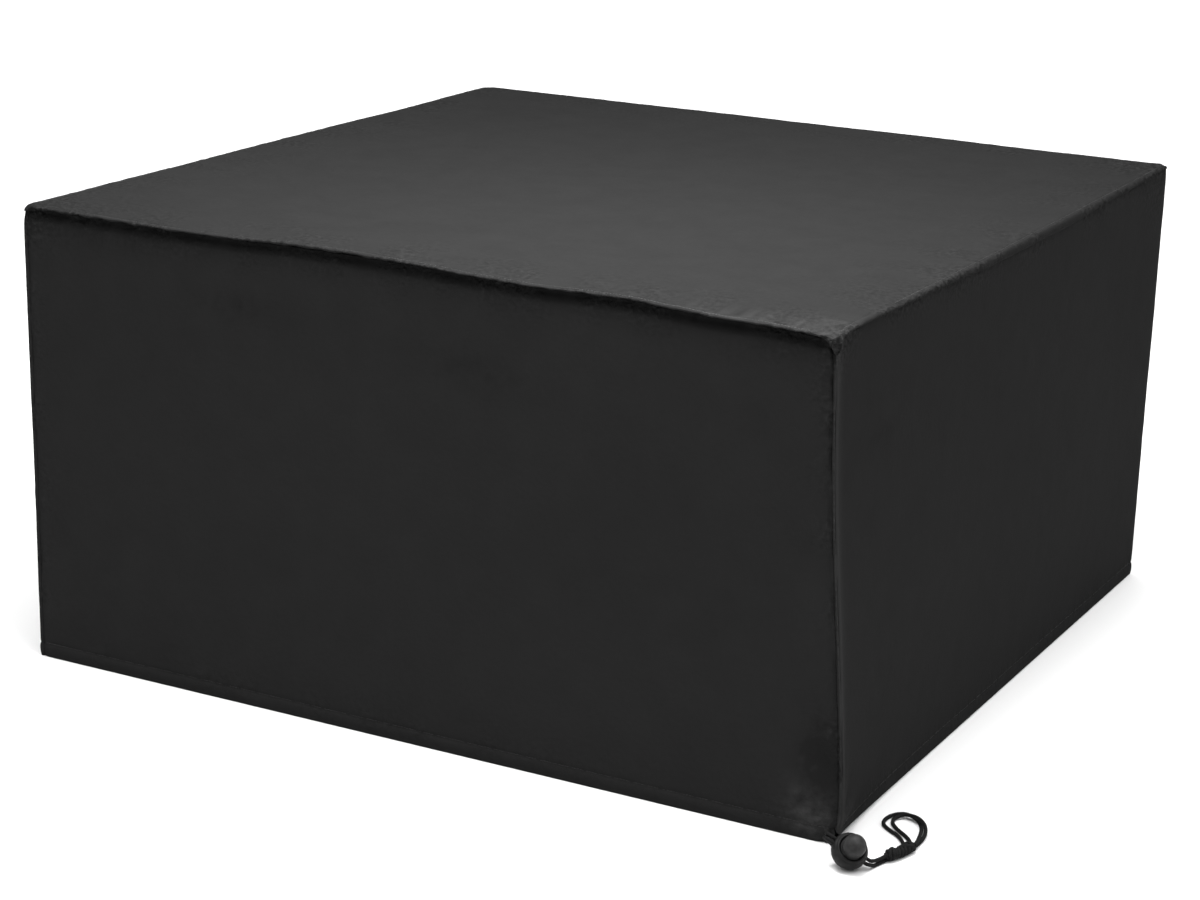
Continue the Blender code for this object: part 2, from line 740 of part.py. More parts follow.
upper = [*UPPER_IN, *strand_through_lock(STRAND_APART), *UPPER_OUT]
lower = [*LOWER_IN, *strand_through_lock(-STRAND_APART), *LOWER_OUT]
add_cord("drawcord_upper", smooth_route(upper, CORD_STEP), elastic_cord)
add_cord("drawcord_lower", smooth_route(lower, CORD_STEP), elastic_cord)

pair = smooth_route([(x, y, PAIR_LIES) for x, y in PAIR_ROUTE], PAIR_STEP)
for name, phase, way_back in (("loop_outer", 0, OUTER_RETURN), ("loop_inner", math.pi, INNER_RETURN)):
    twisted = twisted_strand(pair, phase)
    back = smooth_route([twisted[-1], *way_back], CORD_STEP)
    add_cord(name, twisted + back[1:], elastic_cord)
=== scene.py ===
"""The looks of the patio furniture cover: coated cloth, seams, stitches, braided cord, cord lock and knot.

Metres, +Z up. The origin is on the floor under the middle of the cover, whose front faces -Y.
"""

import math

import bpy
from mathutils import Matrix, Vector, noise


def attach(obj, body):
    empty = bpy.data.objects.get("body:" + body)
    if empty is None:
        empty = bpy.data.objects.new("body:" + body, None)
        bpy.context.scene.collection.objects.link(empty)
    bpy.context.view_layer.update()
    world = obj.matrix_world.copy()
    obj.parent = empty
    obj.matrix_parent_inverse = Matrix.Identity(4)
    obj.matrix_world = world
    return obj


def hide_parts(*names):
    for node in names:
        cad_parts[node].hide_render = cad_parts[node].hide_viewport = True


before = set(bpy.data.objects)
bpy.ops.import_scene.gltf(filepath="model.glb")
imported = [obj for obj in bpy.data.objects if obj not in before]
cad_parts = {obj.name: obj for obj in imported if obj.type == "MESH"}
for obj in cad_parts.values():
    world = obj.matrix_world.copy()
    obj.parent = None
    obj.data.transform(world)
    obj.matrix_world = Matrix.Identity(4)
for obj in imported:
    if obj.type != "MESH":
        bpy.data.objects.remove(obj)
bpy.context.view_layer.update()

# ---------------------------------------------------------------------------------------------------
# The camera stands to the right of the near corner, about a metre above the cover's top, and looks
# down with a long lens. It leans slightly.
CAMERA_AT = (2.1665, -4.1484, 1.6923)
CAMERA_TURN = math.radians(28.106)  # to the left of the way straight back
CAMERA_DIP = math.radians(16.69)
CAMERA_ROLL = math.radians(1.595)
LENS_MM = 87.29
SENSOR_MM = 36

camera = bpy.data.objects.new("camera", bpy.data.cameras.new("camera"))
camera.data.lens = LENS_MM
camera.data.sensor_width = SENSOR_MM
bpy.context.scene.collection.objects.link(camera)
aim = Matrix.Rotation(CAMERA_TURN, 4, "Z") @ Matrix.Rotation(math.pi / 2 - CAMERA_DIP, 4, "X")
camera.matrix_world = Matrix.Translation(CAMERA_AT) @ aim @ Matrix.Rotation(CAMERA_ROLL, 4, "Z")
bpy.context.scene.camera = camera

# ---------------------------------------------------------------------------------------------------
# The drawcord: black braided elastic, 5.5 mm thick, sold by the metre. Two strands come out of the
# hem at the near corner, go through the cord lock and end in the knot.
CORD = 0.0055
CORD_STEP = 1.9 * CORD
FLOOR_GAP = 0.0003
LIES = CORD / 2 + FLOOR_GAP  # height of its middle where it lies on the floor
BRAID_CARRIERS = 8  # plaits each way round
BRAID_RELIEF = 0.045  # of the cord's radius
BRAID_LEVEL = 0.6  # share of the relief that lies inside it
BRAID_AROUND = 40  # points round the tube
BRAID_ALONG = 0.00055  # between its rings
SUBSTEPS = 20  # fine steps between two given points of a route

LOCK_CENTRE = Vector((0.7523, -0.7397, 0.0266))
LOCK_TURN = math.radians(-39.8)  # the way the button faces, from +X
LOCK_RISE = math.radians(44.3)  # and how far it looks up
RUN_TURN = math.radians(19.0)  # the way the strands run through it
RUN_DIP = math.radians(-31.5)
STRAND_APART = 0.0036  # each strand's distance from the lock's middle
STRAND_STOPS = (-0.029, -0.013, 0, 0.013, 0.027)  # along its run from the lock's middle

# Routes of the cord's middle. In: from the hem's mouth to the lock. Out: from the lock to the knot.
UPPER_IN = (
    (0.6925, -0.673, 0.0086), (0.7005, -0.6768, 0.0086), (0.7048, -0.6828, 0.009),
    (0.7098, -0.6908, 0.0125), (0.7121, -0.702, 0.019), (0.7137, -0.719, 0.0306),
    (0.7156, -0.7362, 0.0421), (0.718, -0.7409, 0.0445), (0.7229, -0.7439, 0.0447),
)
LOWER_IN = (
    (0.688, -0.6748, 0.0031), (0.6955, -0.6774, 0.0031), (0.7005, -0.6825, 0.0034),
    (0.706, -0.691, 0.0055), (0.709, -0.703, 0.0125), (0.712, -0.7225, 0.0255),
    (0.7152, -0.7427, 0.0385), (0.7177, -0.7473, 0.0407), (0.7226, -0.7501, 0.0409),
)
UPPER_OUT = (
    (0.7784, -0.7242, 0.0114), (0.7812, -0.715, 0.0094), (0.7841, -0.7045, 0.0089),
    (0.7862, -0.6985, 0.0092), (0.7872, -0.6949, 0.0092),
)
LOWER_OUT = (
    (0.7776, -0.732, 0.009), (0.7796, -0.725, 0.0056), (0.7812, -0.717, LIES),
    (0.7838, -0.707, LIES), (0.7862, -0.699, LIES), (0.7872, -0.6949, LIES),
)


def linear(hex_colour):
    """An sRGB hex colour as linear red, green, blue and alpha."""
    channels = [int(hex_colour[k : k + 2], 16) / 255 for k in (1, 3, 5)]
    return [c / 12.92 if c <= 0.04045 else ((c + 0.055) / 1.055) ** 2.4 for c in channels] + [1.0]


def feed(made, inputs):
    """Give inputs of a node a value each, or the output of another node."""
    for name, value in inputs.items():
        if isinstance(value, bpy.types.NodeSocket):
            made.id_data.links.new(value, made.inputs[name])
        else:
            made.inputs[name].default_value = value


def node(tree, kind, inputs=None, **settings):
    """Add a shader node of a kind. Its settings go to the node, or to the input of that name."""
    made = tree.nodes.new("ShaderNode" + kind)
    for name, value in settings.items():
        if hasattr(made, name):
            setattr(made, name, value)
        else:
            feed(made, {name.replace("_", " "): value})
    feed(made, inputs or {})
    return made


def material_start(name):
    """A new material with its Principled shader."""
    material = bpy.data.materials.new(name)
    material.use_nodes = True
    return material, material.node_tree, material.node_tree.nodes["Principled BSDF"]


def add_mesh(name, points, faces, material, uvs=None, body="cover"):
    """A mesh piece that rides on a body of the frame. uvs holds one pair for each point, in metres."""
    mesh = bpy.data.meshes.new(name)
    mesh.from_pydata(points, [], faces)
    mesh.update()
    if uvs:
        layer = mesh.uv_layers.new(name="metres")
        for loop in mesh.loops:
            layer.data[loop.index].uv = uvs[loop.vertex_index]
    mesh.shade_smooth()
    mesh.materials.append(material)
    piece = bpy.data.objects.new(name, mesh)
    bpy.context.scene.collection.objects.link(piece)
    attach(piece, body)
    return piece


def on_curve(before, start, end, after, share):
    """A point of a smooth curve through four points, at a share of the way from the second on."""
    bend = 2 * start + (end - before) * share
    bend += (2 * before - 5 * start + 4 * end - after) * share**2
    bend += (3 * start - before - 3 * end + after) * share**3
    return bend / 2


def smooth_route(points, step):
    """Points about a step apart on a smooth curve through the given ones."""
    points = [Vector(point) for point in points]
    held = [2 * points[0] - points[1]] + points + [2 * points[-1] - points[-2]]
    fine = []
    for four in zip(held, held[1:], held[2:], held[3:]):
        fine += [on_curve(*four, k / SUBSTEPS) for k in range(SUBSTEPS)]
    fine.append(points[-1])
    run = [0.0]
    for start, end in zip(fine, fine[1:]):
        run.append(run[-1] + (end - start).length)
    count = max(2, round(run[-1] / step))
    route, k = [], 0
    for n in range(count + 1):
        target = run[-1] * n / count
        while k < len(run) - 2 and run[k + 1] < target:
            k += 1
        route.append(fine[k].lerp(fine[k + 1], (target - run[k]) / (run[k + 1] - run[k])))
    return route


def ring_faces(first, rings, around):
    """The faces between rings of points that follow each other from a first point on."""
    faces = []
    for ring in range(first, first + (rings - 1) * around, around):
        for k in range(around):
            after = (k + 1) % around
            faces.append((ring + k, ring + after, ring + around + after, ring + around + k))
    return faces


def end_faces(first, rings, around):
    """The two faces that close such rings."""
    last = first + (rings - 1) * around
    return [tuple(reversed(range(first, first + around))), tuple(range(last, last + around))]


def tube(route, radius, relief, points, faces, uvs):
    """Add a braided tube along a route to lists of points, faces and uvs."""
    first = len(points)
    across = (route[1] - route[0]).orthogonal().normalized()
    run = 0.0
    for n, middle in enumerate(route):
        ahead = route[min(n + 1, len(route) - 1)] - route[max(n - 1, 0)]
        ahead.normalize()
        across = (across - ahead * across.dot(ahead)).normalized()
        other = ahead.cross(across)
        if n:
            run += (middle - route[n - 1]).length
        for k in range(BRAID_AROUND):
            turn = 2 * math.pi * k / BRAID_AROUND
            lean = run / radius
            over = math.cos(BRAID_CARRIERS * (turn + lean))
            under = math.cos(BRAID_CARRIERS * (turn - lean))
            size = radius * (1 + relief * (max(over, under) - BRAID_LEVEL))
            points.append(middle + (across * math.cos(turn) + other * math.sin(turn)) * size)
            uvs.append((turn * radius, run))
    faces += ring_faces(first, len(route), BRAID_AROUND) + end_faces(first, len(route), BRAID_AROUND)


def add_cord(name, route):
    """A braided strand as one mesh tube along a route."""
    fine = smooth_route(route, BRAID_ALONG)
    points, faces, uvs = [], [], []
    tube(fine, CORD / 2, BRAID_RELIEF, points, faces, uvs)
    return add_mesh(name, points, faces, elastic_braid, uvs)


def lock_axes():
    """Unit vectors of the lock: along the strands, from strand to strand, and out of the button."""
    flat = math.cos(LOCK_RISE)
    button = Vector((flat * math.cos(LOCK_TURN), flat * math.sin(LOCK_TURN), math.sin(LOCK_RISE)))
    level = math.cos(RUN_DIP)
    run = Vector((level * math.cos(RUN_TURN), level * math.sin(RUN_TURN), math.sin(RUN_DIP)))
    run = (run - button * run.dot(button)).normalized()
    return run, button.cross(run), button


def through_lock(aside):
    """A strand's straight run through the lock's holes."""
    run, apart, _ = lock_axes()
    return [LOCK_CENTRE + apart * aside + run * stop for stop in STRAND_STOPS]


# Braided polyester sleeve over rubber, piece-dyed black: dull fibres that catch a little light on the
# tops of the plaits, with lint and dust between them.
FIBRE_DARK = "#070707"
FIBRE_LIGHT = "#131313"
PLAIT_WIDE = CORD * math.pi / (2 * BRAID_CARRIERS)

elastic_braid, tree, shader = material_start("braided_elastic_cord")
place = node(tree, "TexCoord").outputs["Object"]
lint = node(tree, "TexNoise", {"Vector": place}, Scale=1 / PLAIT_WIDE, Detail=3.0)
tone = node(tree, "ValToRGB", {"Fac": lint.outputs["Fac"]})
for stop, at, colour in zip(tone.color_ramp.elements, (0.35, 0.70), (FIBRE_DARK, FIBRE_LIGHT)):
    stop.position, stop.color = at, linear(colour)
fibres = node(tree, "TexNoise", {"Vector": place}, Scale=4 / PLAIT_WIDE, Detail=2.0)
fuzz = node(tree, "Bump", {"Height": fibres.outputs["Fac"]}, Strength=0.35, Distance=0.0003)
feed(shader, {"Base Color": tone.outputs["Color"], "Normal": fuzz.outputs["Normal"]})
feed(shader, {"Roughness": 0.75, "Specular IOR Level": 0.12})

cords = {}
for stands_for, way_in, aside, way_out in (
    ("drawcord_upper", UPPER_IN, STRAND_APART, UPPER_OUT),
    ("drawcord_lower", LOWER_IN, -STRAND_APART, LOWER_OUT),
):
    route = [*way_in, *through_lock(aside), *way_out]
    cords[stands_for] = add_cord(stands_for + "_braid", route), route

# ---------------------------------------------------------------------------------------------------
# The pull loop: the same two strands beyond the knot, twisted together for a while, lying on the
# floor, and coming back apart to the knot.
PAIR_RADIUS = 0.0031  # from the middle of the pair to the middle of a strand
PAIR_LIES = LIES + PAIR_RADIUS
PAIR_PITCH = 0.145  # one turn of the pair
PAIR_STEP = PAIR_PITCH / 12
PAIR_START = math.radians(50)  # how far the pair is turned at the knot
PAIR_ROUTE = (
    (0.8048, -0.6372), (0.8052, -0.627), (0.8045, -0.616), (0.8027, -0.6037), (0.7992, -0.588),
    (0.7935, -0.573), (0.785, -0.559), (0.774, -0.5478), (0.7625, -0.542), (0.753, -0.5412),
)
OUTER_RETURN = (
    (0.7405, -0.5425, 0.0046), (0.734, -0.5515, 0.0033), (0.7318, -0.5645, LIES),
    (0.7345, -0.5785, LIES), (0.7425, -0.5893, LIES), (0.7535, -0.598, LIES),
    (0.7645, -0.6052, LIES), (0.7748, -0.6142, LIES), (0.7828, -0.624, LIES),
    (0.7885, -0.6335, LIES), (0.7918, -0.6402, LIES),
)
INNER_RETURN = (
    (0.7455, -0.55, 0.0046), (0.7425, -0.56, 0.0033), (0.7455, -0.571, LIES),
    (0.7535, -0.582, LIES), (0.7645, -0.5925, LIES), (0.7755, -0.6012, LIES),
    (0.7855, -0.6105, LIES), (0.7922, -0.6195, LIES), (0.7955, -0.6285, LIES),
    (0.7968, -0.637, LIES),
)


def twisted_strand(route, phase):
    """One strand of a pair twisted round a route that lies on the floor."""
    strand, run = [], 0.0
    for n, point in enumerate(route):
        if n:
            run += (point - route[n - 1]).length
        ahead = route[min(n + 1, len(route) - 1)] - route[max(n - 1, 0)]
        aside = ahead.cross(Vector((0, 0, 1))).normalized()
        angle = PAIR_START + phase + 2 * math.pi * run / PAIR_PITCH
        strand.append(point + PAIR_RADIUS * (aside * math.cos(angle) + Vector((0, 0, math.sin(angle)))))
    return strand


pair = smooth_route([(x, y, PAIR_LIES) for x, y in PAIR_ROUTE], PAIR_STEP)
for stands_for, phase, way_back in (("loop_outer", 0, OUTER_RETURN), ("loop_inner", math.pi, INNER_RETURN)):
    twisted = twisted_strand(pair, phase)
    back = smooth_route([twisted[-1], *way_back], CORD_STEP)
    route = twisted + back[1:]
    cords[stands_for] = add_cord(stands_for + "_braid", route), route

# ---------------------------------------------------------------------------------------------------
# The knot: both strands wound round themselves and pulled tight, one round lump and one long one,
# with a strand crossing over each.
KNOT_ROWS = (
    (0.7874, -0.6942, 0.0064, 0.0078),
    (0.7912, -0.6855, 0.0098, 0.0092),
    (0.7965, -0.6765, 0.0088, 0.0078),
    (0.8006, -0.6640, 0.0085, 0.0080),
    (0.8026, -0.6500, 0.0088, 0.0088),
    (0.8016, -0.6390, 0.0080, 0.0085),
)  # x, y and z of its middle, and its radius
KNOT_TURNS = 5.2  # of each strand round the knot
KNOT_SAMPLES = 60  # for each turn
KNOT_KEPT = 12  # of those, the points that its route goes through
KNOT_TUCKED = 0.45  # share of its radius by which the winding turns in at both ends
KNOT_TUCK_STEEP = 6  # and how fast it comes out again
# The crossing strands: from and to which share of the knot, turns round it, and angle at the start.
KNOT_CROSSINGS = ((0.05, 0.42, 0.45, 0.4), (0.50, 0.97, -0.5, 2.4))
KNOT_CROSS_LIFT = 0.0012
KNOT_ALONG = 1.4 * BRAID_ALONG
CORE_ALONG = 3 * BRAID_ALONG
CORE_STEPS = 16


def knot_place(share):
    """The knot's middle, its radius and its cross directions, at a share of its length."""
    last = len(KNOT_ROWS) - 1
    at = min(last - 1e-6, max(0.0, share * last))
    row = int(at)
    x, y, z, radius = (a + (b - a) * (at - row) for a, b in zip(KNOT_ROWS[row], KNOT_ROWS[row + 1]))
    ahead = Vector(KNOT_ROWS[row + 1][:3]) - Vector(KNOT_ROWS[row][:3])
    ahead.normalize()
    aside = ahead.cross(Vector((0, 0, 1))).normalized()
    return Vector((x, y, z)), radius, aside, aside.cross(ahead)


def wound(start, end, turns, phase, lift=0.0):
    """A route wound round the knot from one share of its length to another."""
    route = []
    count = round(abs(turns) * KNOT_SAMPLES)
    for n in range(count + 1):
        part = n / count
        middle, radius, aside, above = knot_place(start + (end - start) * part)
        angle = phase + 2 * math.pi * turns * part
        out = 1 if lift else min(1.0, KNOT_TUCK_STEEP * part, KNOT_TUCK_STEEP * (1 - part))
        reach = (radius - CORD / 2) * (1 - KNOT_TUCKED * (1 - out)) + lift
        point = middle + (aside * math.cos(angle) + above * math.sin(angle)) * reach
        point.z = max(point.z, LIES)
        route.append(point)
    return smooth_route(route[:: KNOT_SAMPLES // KNOT_KEPT], KNOT_ALONG)


points, faces, uvs = [], [], []
for phase in (0, math.pi):
    tube(wound(0.0, 1.0, KNOT_TURNS, phase), CORD / 2, BRAID_RELIEF, points, faces, uvs)
for start, end, turns, phase in KNOT_CROSSINGS:
    crossing = wound(start, end, turns, phase, KNOT_CROSS_LIFT)
    tube(crossing, CORD / 2, BRAID_RELIEF, points, faces, uvs)
core = [knot_place(k / CORE_STEPS)[0] for k in range(CORE_STEPS + 1)]
tube(smooth_route(core, CORE_ALONG), CORD / 2, 0.0, points, faces, uvs)
knot = add_mesh("knot_wraps", points, faces, elastic_braid, uvs)
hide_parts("knot")

# ---------------------------------------------------------------------------------------------------
# The cord lock: a ball-shaped barrel injection-moulded in black acetal, with two holes for the
# strands and a sprung push button whose dome stands in a round recess.
HOLE = 0.0040  # radius
HOLE_STEPS = 48
CUT_LONG = 0.06
TURNED_STEPS = 128
OUTLINE_STEPS = 5  # fine steps between two given points of an outline
BORE = 0.0170
BUTTON = 0.0165
SLOT_WIDE = 0.0068  # of the windows in the button's plunger
SLOT_LOW = -0.0034
SLOT_HIGH = 0.0076
SHARP = math.radians(38)  # a bend in the outline that shows as an edge
# Turned outlines: radius, height along the button's axis. The barrel's runs from the middle of its bore
# over the lip and round to the back, and the button's from the top of its dome to the plunger's foot.
# A point given twice is a sharp edge, and the others lie on a smooth curve.
BARREL_OUTLINE = (
    (0.0, -0.013), (BORE, -0.013), (BORE, -0.013), (BORE, 0.0072), (BORE, 0.0072),
    (0.0178, 0.0092), (0.0186, 0.0102), (0.0196, 0.0107), (0.0207, 0.0104), (0.0216, 0.0096),
    (0.0221, 0.0086), (0.0224, 0.0078), (0.023, 0.0073), (0.0243, 0.006), (0.0254, 0.003),
    (0.026, -0.001), (0.0258, -0.0045), (0.0247, -0.0085), (0.0214, -0.015), (0.0169, -0.0198),
    (0.011, -0.023), (0.005, -0.0241), (0.0, -0.0242),
)
BUTTON_OUTLINE = (
    (0.0, 0.0345), (0.0028, 0.0343), (0.0057, 0.0335), (0.0105, 0.0308), (0.0142, 0.0266),
    (0.0161, 0.0216), (0.0165, 0.0176), (0.0162, 0.0146), (0.0157, 0.0124), (0.0157, 0.0104),
    (BUTTON, 0.0094), (BUTTON, 0.0094), (BUTTON, -0.0085), (BUTTON, -0.0085), (0.0, -0.0085),
)


def fine_outline(outline):
    """A smooth outline through the given points, sharp where one is given twice."""
    corners = [Vector(point) for point in outline]
    section = []
    for k, (start, end) in enumerate(zip(corners, corners[1:])):
        if start != end:
            four = (corners[max(k - 1, 0)], start, end, corners[min(k + 2, len(corners) - 1)])
            section += [on_curve(*four, n / OUTLINE_STEPS) for n in range(OUTLINE_STEPS)]
    return section + [corners[-1]]


def add_turned(name, outline, material, body):
    """An outline turned round the lock's button axis."""
    run, apart, button_way = lock_axes()
    section = fine_outline(outline)
    points = []
    for radius, height in section[1:-1]:
        for k in range(TURNED_STEPS):
            turn = 2 * math.pi * k / TURNED_STEPS
            out = run * math.cos(turn) + apart * math.sin(turn)
            points.append(LOCK_CENTRE + out * radius + button_way * height)
    rings = len(section) - 2
    faces = ring_faces(0, rings, TURNED_STEPS)
    for height, ring, back in ((section[0].y, 0, False), (section[-1].y, rings - 1, True)):
        pole = len(points)
        points.append(LOCK_CENTRE + button_way * height)
        for k in range(TURNED_STEPS):
            first, after = (ring * TURNED_STEPS + n % TURNED_STEPS for n in (k, k + 1))
            faces.append((first, after, pole) if back else (after, first, pole))
    return add_mesh(name, points, faces, material, body=body)


def cut_away(piece, cutter):
    """Cut a mesh piece with a helper object and remove the helper."""
    cut = piece.modifiers.new("cut", "BOOLEAN")
    cut.solver = "EXACT"
    cut.object = cutter
    bpy.context.view_layer.update()
    shaped = piece.evaluated_get(bpy.context.evaluated_depsgraph_get())
    piece.data = bpy.data.meshes.new_from_object(shaped)
    piece.modifiers.clear()
    bpy.data.objects.remove(cutter, do_unlink=True)


# Black acetal, injection moulded against a fine spark-eroded tool: a soft satin gloss with a barely
# visible grain, rubbed a little shinier and greyer by handling.
ACETAL = "#0e0e0e"
ACETAL_RUBBED = "#181818"
RUB_PATCHES = 120  # in a metre
MOULD_GRAIN = 0.00035

moulded_acetal, tree, shader = material_start("injection_moulded_acetal")
place = node(tree, "TexCoord").outputs["Object"]
rub = node(tree, "TexNoise", {"Vector": place}, Scale=RUB_PATCHES, Detail=3.0)
tone = node(tree, "ValToRGB", {"Fac": rub.outputs["Fac"]})
for stop, at, colour in zip(tone.color_ramp.elements, (0.40, 0.72), (ACETAL, ACETAL_RUBBED)):
    stop.position, stop.color = at, linear(colour)
gloss = node(tree, "MapRange", {"Value": rub.outputs["Fac"]}, To_Min=0.60, To_Max=0.50)
grain = node(tree, "TexNoise", {"Vector": place}, Scale=1 / MOULD_GRAIN, Detail=1.0)
skin = node(tree, "Bump", {"Height": grain.outputs["Fac"]}, Strength=0.10, Distance=0.0001)
feed(shader, {"Base Color": tone.outputs["Color"], "Roughness": gloss.outputs["Result"]})
feed(shader, {"Normal": skin.outputs["Normal"], "Specular IOR Level": 0.12})

# The button is a copy of the same acetal, painted paler to stand in for the light its dome catches.
BUTTON_PAINTED_LIGHT = ("#1e1e1e", "#2c2c2c")

painted_light_acetal = moulded_acetal.copy()
painted_light_acetal.name = "painted_light_acetal"
ramp = next(n for n in painted_light_acetal.node_tree.nodes if n.type == "VALTORGB").color_ramp
for stop, colour in zip(ramp.elements, BUTTON_PAINTED_LIGHT):
    stop.color = linear(colour)

barrel = add_turned("lock_barrel", BARREL_OUTLINE, moulded_acetal, "cover")
button = add_turned("lock_button", BUTTON_OUTLINE, painted_light_acetal, "button")
run, apart, button_way = lock_axes()
lock_turn = Matrix((run, apart, button_way)).transposed().to_4x4()
for aside in (STRAND_APART, -STRAND_APART):
    bpy.ops.mesh.primitive_cylinder_add(vertices=HOLE_STEPS, radius=HOLE, depth=CUT_LONG)
    hole = bpy.context.active_object
    along_run = Matrix.Rotation(math.pi / 2, 4, "Y")
    hole.matrix_world = Matrix.Translation(LOCK_CENTRE + apart * aside) @ lock_turn @ along_run
    cut_away(barrel, hole)
    bpy.ops.mesh.primitive_cube_add(size=1)
    window = bpy.context.active_object
    middle = LOCK_CENTRE + apart * aside + button_way * (SLOT_HIGH + SLOT_LOW) / 2
    size = Matrix.Diagonal((CUT_LONG, SLOT_WIDE, SLOT_HIGH - SLOT_LOW, 1))
    window.matrix_world = Matrix.Translation(middle) @ lock_turn @ size
    cut_away(button, window)
for piece, stands_for in ((barrel, "toggle_barrel"), (button, "toggle_button")):
    piece.data.set_sharp_from_angle(angle=SHARP)
    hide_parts(stands_for)

for stands_for, (piece, route) in cords.items():
    line = smooth_route(route, CORD / 4)
    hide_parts(stands_for)

# ---------------------------------------------------------------------------------------------------
# The four walls: coated polyester cut to the height of the furniture, sewn to each other inside out
# at the upright corners, with the hem turned up for the drawcord. They stand in shallow folds.
LENGTH = 1.376  # of the front and back walls
DEPTH = 1.374  # of the right and left walls
# Sides are numbered front, right, back, left, and the corners from the front left one on.
LENGTHS = (LENGTH, DEPTH, LENGTH, DEPTH)
OUTWARD = ((0, -1), (1, 0), (0, 1), (-1, 0))
CORNERS = (
    (-0.7015, -0.6915, 0.7415, -0.6965, -0.6865),
    (0.6745, -0.6920, 0.7310, 0.6947, -0.6828),
    (0.6800, 0.6885, 0.7485, 0.6765, 0.6815),
    (-0.6895, 0.6905, 0.7405, -0.6925, 0.6860),
)  # x, y and z of each top corner, and x and y of the hem's corner under it
CLOTH = 0.0012  # thickness
ROUND = 0.0037  # of an upright corner
SEWN = (0, 2)  # the upright seams lie on the front and the back
SEAM_AT = 0.0068  # and so far round the corner
SEAM_GAP = 0.0004
GROOVE = 0.0022  # how far the cloth turns in at an upright seam
GROOVE_WIDE = (0.0045, 0.0022)  # on the wall's side of the seam, and on the corner's
VALLEY = 0.0024  # and the wider hollow that the pull of the seam leaves beside it
VALLEY_WIDE = (0.012, 0.0030)
SEAM_SWELL = 0.0010  # of the seam allowance inside the rounded corner
SEAM_SWELL_WIDE = 0.0055
CORNER_PULL = (0.05, 1.0, 0.25, 0.25)  # how strongly each corner shows hollow, swell and painted highlight
TUCK = (0.0045, 0.0012, 0.0030, 0.0030)  # how far a wall turns in under the top's rim
UNDERCUT = (0.0085, 0.0, 0.0040, 0.0040)  # and how much further right at the seam
UNDERCUT_TALL = (0.009, 0.004, 0.008, 0.008)
UNDERCUT_TAIL = 0.28  # share of the undercut that goes on further down
UNDERCUT_TAIL_TALL = 2.4  # times as far
CURL = (1.0, 0.10, 0.6, 0.6)  # how far the rim curls in under the edge
CURL_UNEVEN = 0.45
CURL_WAVES = 45  # in a metre
CURL_FREE = (0.008, 0.022)  # it doesn't at the corners, and does this far from them
# The top edge along each wall: share of the way, height of the edge, and drop from it to the seam.
EDGES = (
    (
        (0.0, 0.7415, 0.009), (0.09, 0.7418, 0.01), (0.19, 0.7407, 0.01), (0.28, 0.7422, 0.01),
        (0.36, 0.747, 0.012), (0.43, 0.7476, 0.012), (0.51, 0.7458, 0.011), (0.6, 0.7418, 0.01),
        (0.66, 0.7403, 0.01), (0.72, 0.7428, 0.01), (0.77, 0.7436, 0.01), (0.82, 0.7402, 0.011),
        (0.87, 0.7368, 0.01), (0.92, 0.7375, 0.011), (0.97, 0.7348, 0.011), (0.989, 0.7333, 0.012),
        (1.0, 0.731, 0.023),
    ),
    (
        (0.0, 0.731, 0.023), (0.012, 0.7345, 0.01), (0.03, 0.7385, 0.007), (0.25, 0.738, 0.01),
        (0.43, 0.7385, 0.016), (0.62, 0.7405, 0.017), (0.82, 0.743, 0.011), (0.97, 0.746, 0.007),
        (1.0, 0.7485, 0.008),
    ),
    (
        (0.0, 0.7485, 0.008), (0.03, 0.7465, 0.009), (0.3, 0.7458, 0.012), (0.55, 0.744, 0.01),
        (0.8, 0.7422, 0.012), (1.0, 0.7405, 0.009),
    ),
    (
        (0.0, 0.7405, 0.009), (0.25, 0.74, 0.012), (0.5, 0.742, 0.014), (0.75, 0.7415, 0.012),
        (1.0, 0.7415, 0.009),
    ),
)
# Soft folds: share along, height, half reach along and up, lean in degrees, how far out.
FOLDS = (
    (
        (0.16, 0.48, 0.26, 0.07, 24, -0.003), (0.38, 0.3, 0.3, 0.13, -12, 0.0035),
        (0.43, 0.55, 0.16, 0.05, 28, -0.003), (0.66, 0.22, 0.34, 0.12, 15, -0.004),
        (0.83, 0.5, 0.22, 0.16, -35, 0.003),
    ),
    (
        (0.2, 0.25, 0.2, 0.18, 30, 0.004), (0.4, 0.45, 0.24, 0.06, -18, -0.003),
        (0.62, 0.25, 0.3, 0.14, 12, 0.0035), (0.85, 0.5, 0.12, 0.2, 8, -0.003),
    ),
    (
        (0.15, 0.5, 0.2, 0.1, -30, 0.004), (0.36, 0.28, 0.28, 0.12, 18, -0.004),
        (0.6, 0.5, 0.26, 0.08, -15, 0.0035), (0.82, 0.25, 0.24, 0.13, 25, -0.0035),
    ),
    (
        (0.18, 0.28, 0.24, 0.14, 22, -0.0035), (0.4, 0.5, 0.22, 0.08, -20, 0.004),
        (0.63, 0.28, 0.3, 0.13, 10, -0.0035), (0.85, 0.5, 0.16, 0.12, 32, 0.003),
    ),
)
FOLD_FREE = 0.10  # they die away this close to the ends, the floor and the rim
STAND_OUT = 0.0215  # above the drawn-in hem the near corner stands out to the right
STAND_OUT_FADE = (0.05, 0.60)  # heights from and to which it fades
STAND_OUT_REACH = 0.12
DRAWN_IN = 0.014  # height of the hem that the drawcord pulls in
# Hem, from the floor up: height and how far out. Its stitches pull it in at the top.
HEM = (
    (0.0, -0.0016), (0.0006, -0.0005), (0.002, 0.0001), (0.005, 0.0006), (0.009, 0.0011),
    (0.013, 0.0012), (0.017, 0.0009), (0.0205, 0.0002), (0.0225, -0.0009), (0.024, -0.0011),
    (0.0255, -0.0006), (0.029, 0.0), (0.034, 0.0), (0.04, 0.0),
)
WALL_ROWS = 62  # between the hem and the tuck
HEM_SEWN = 0.024  # height of its stitches
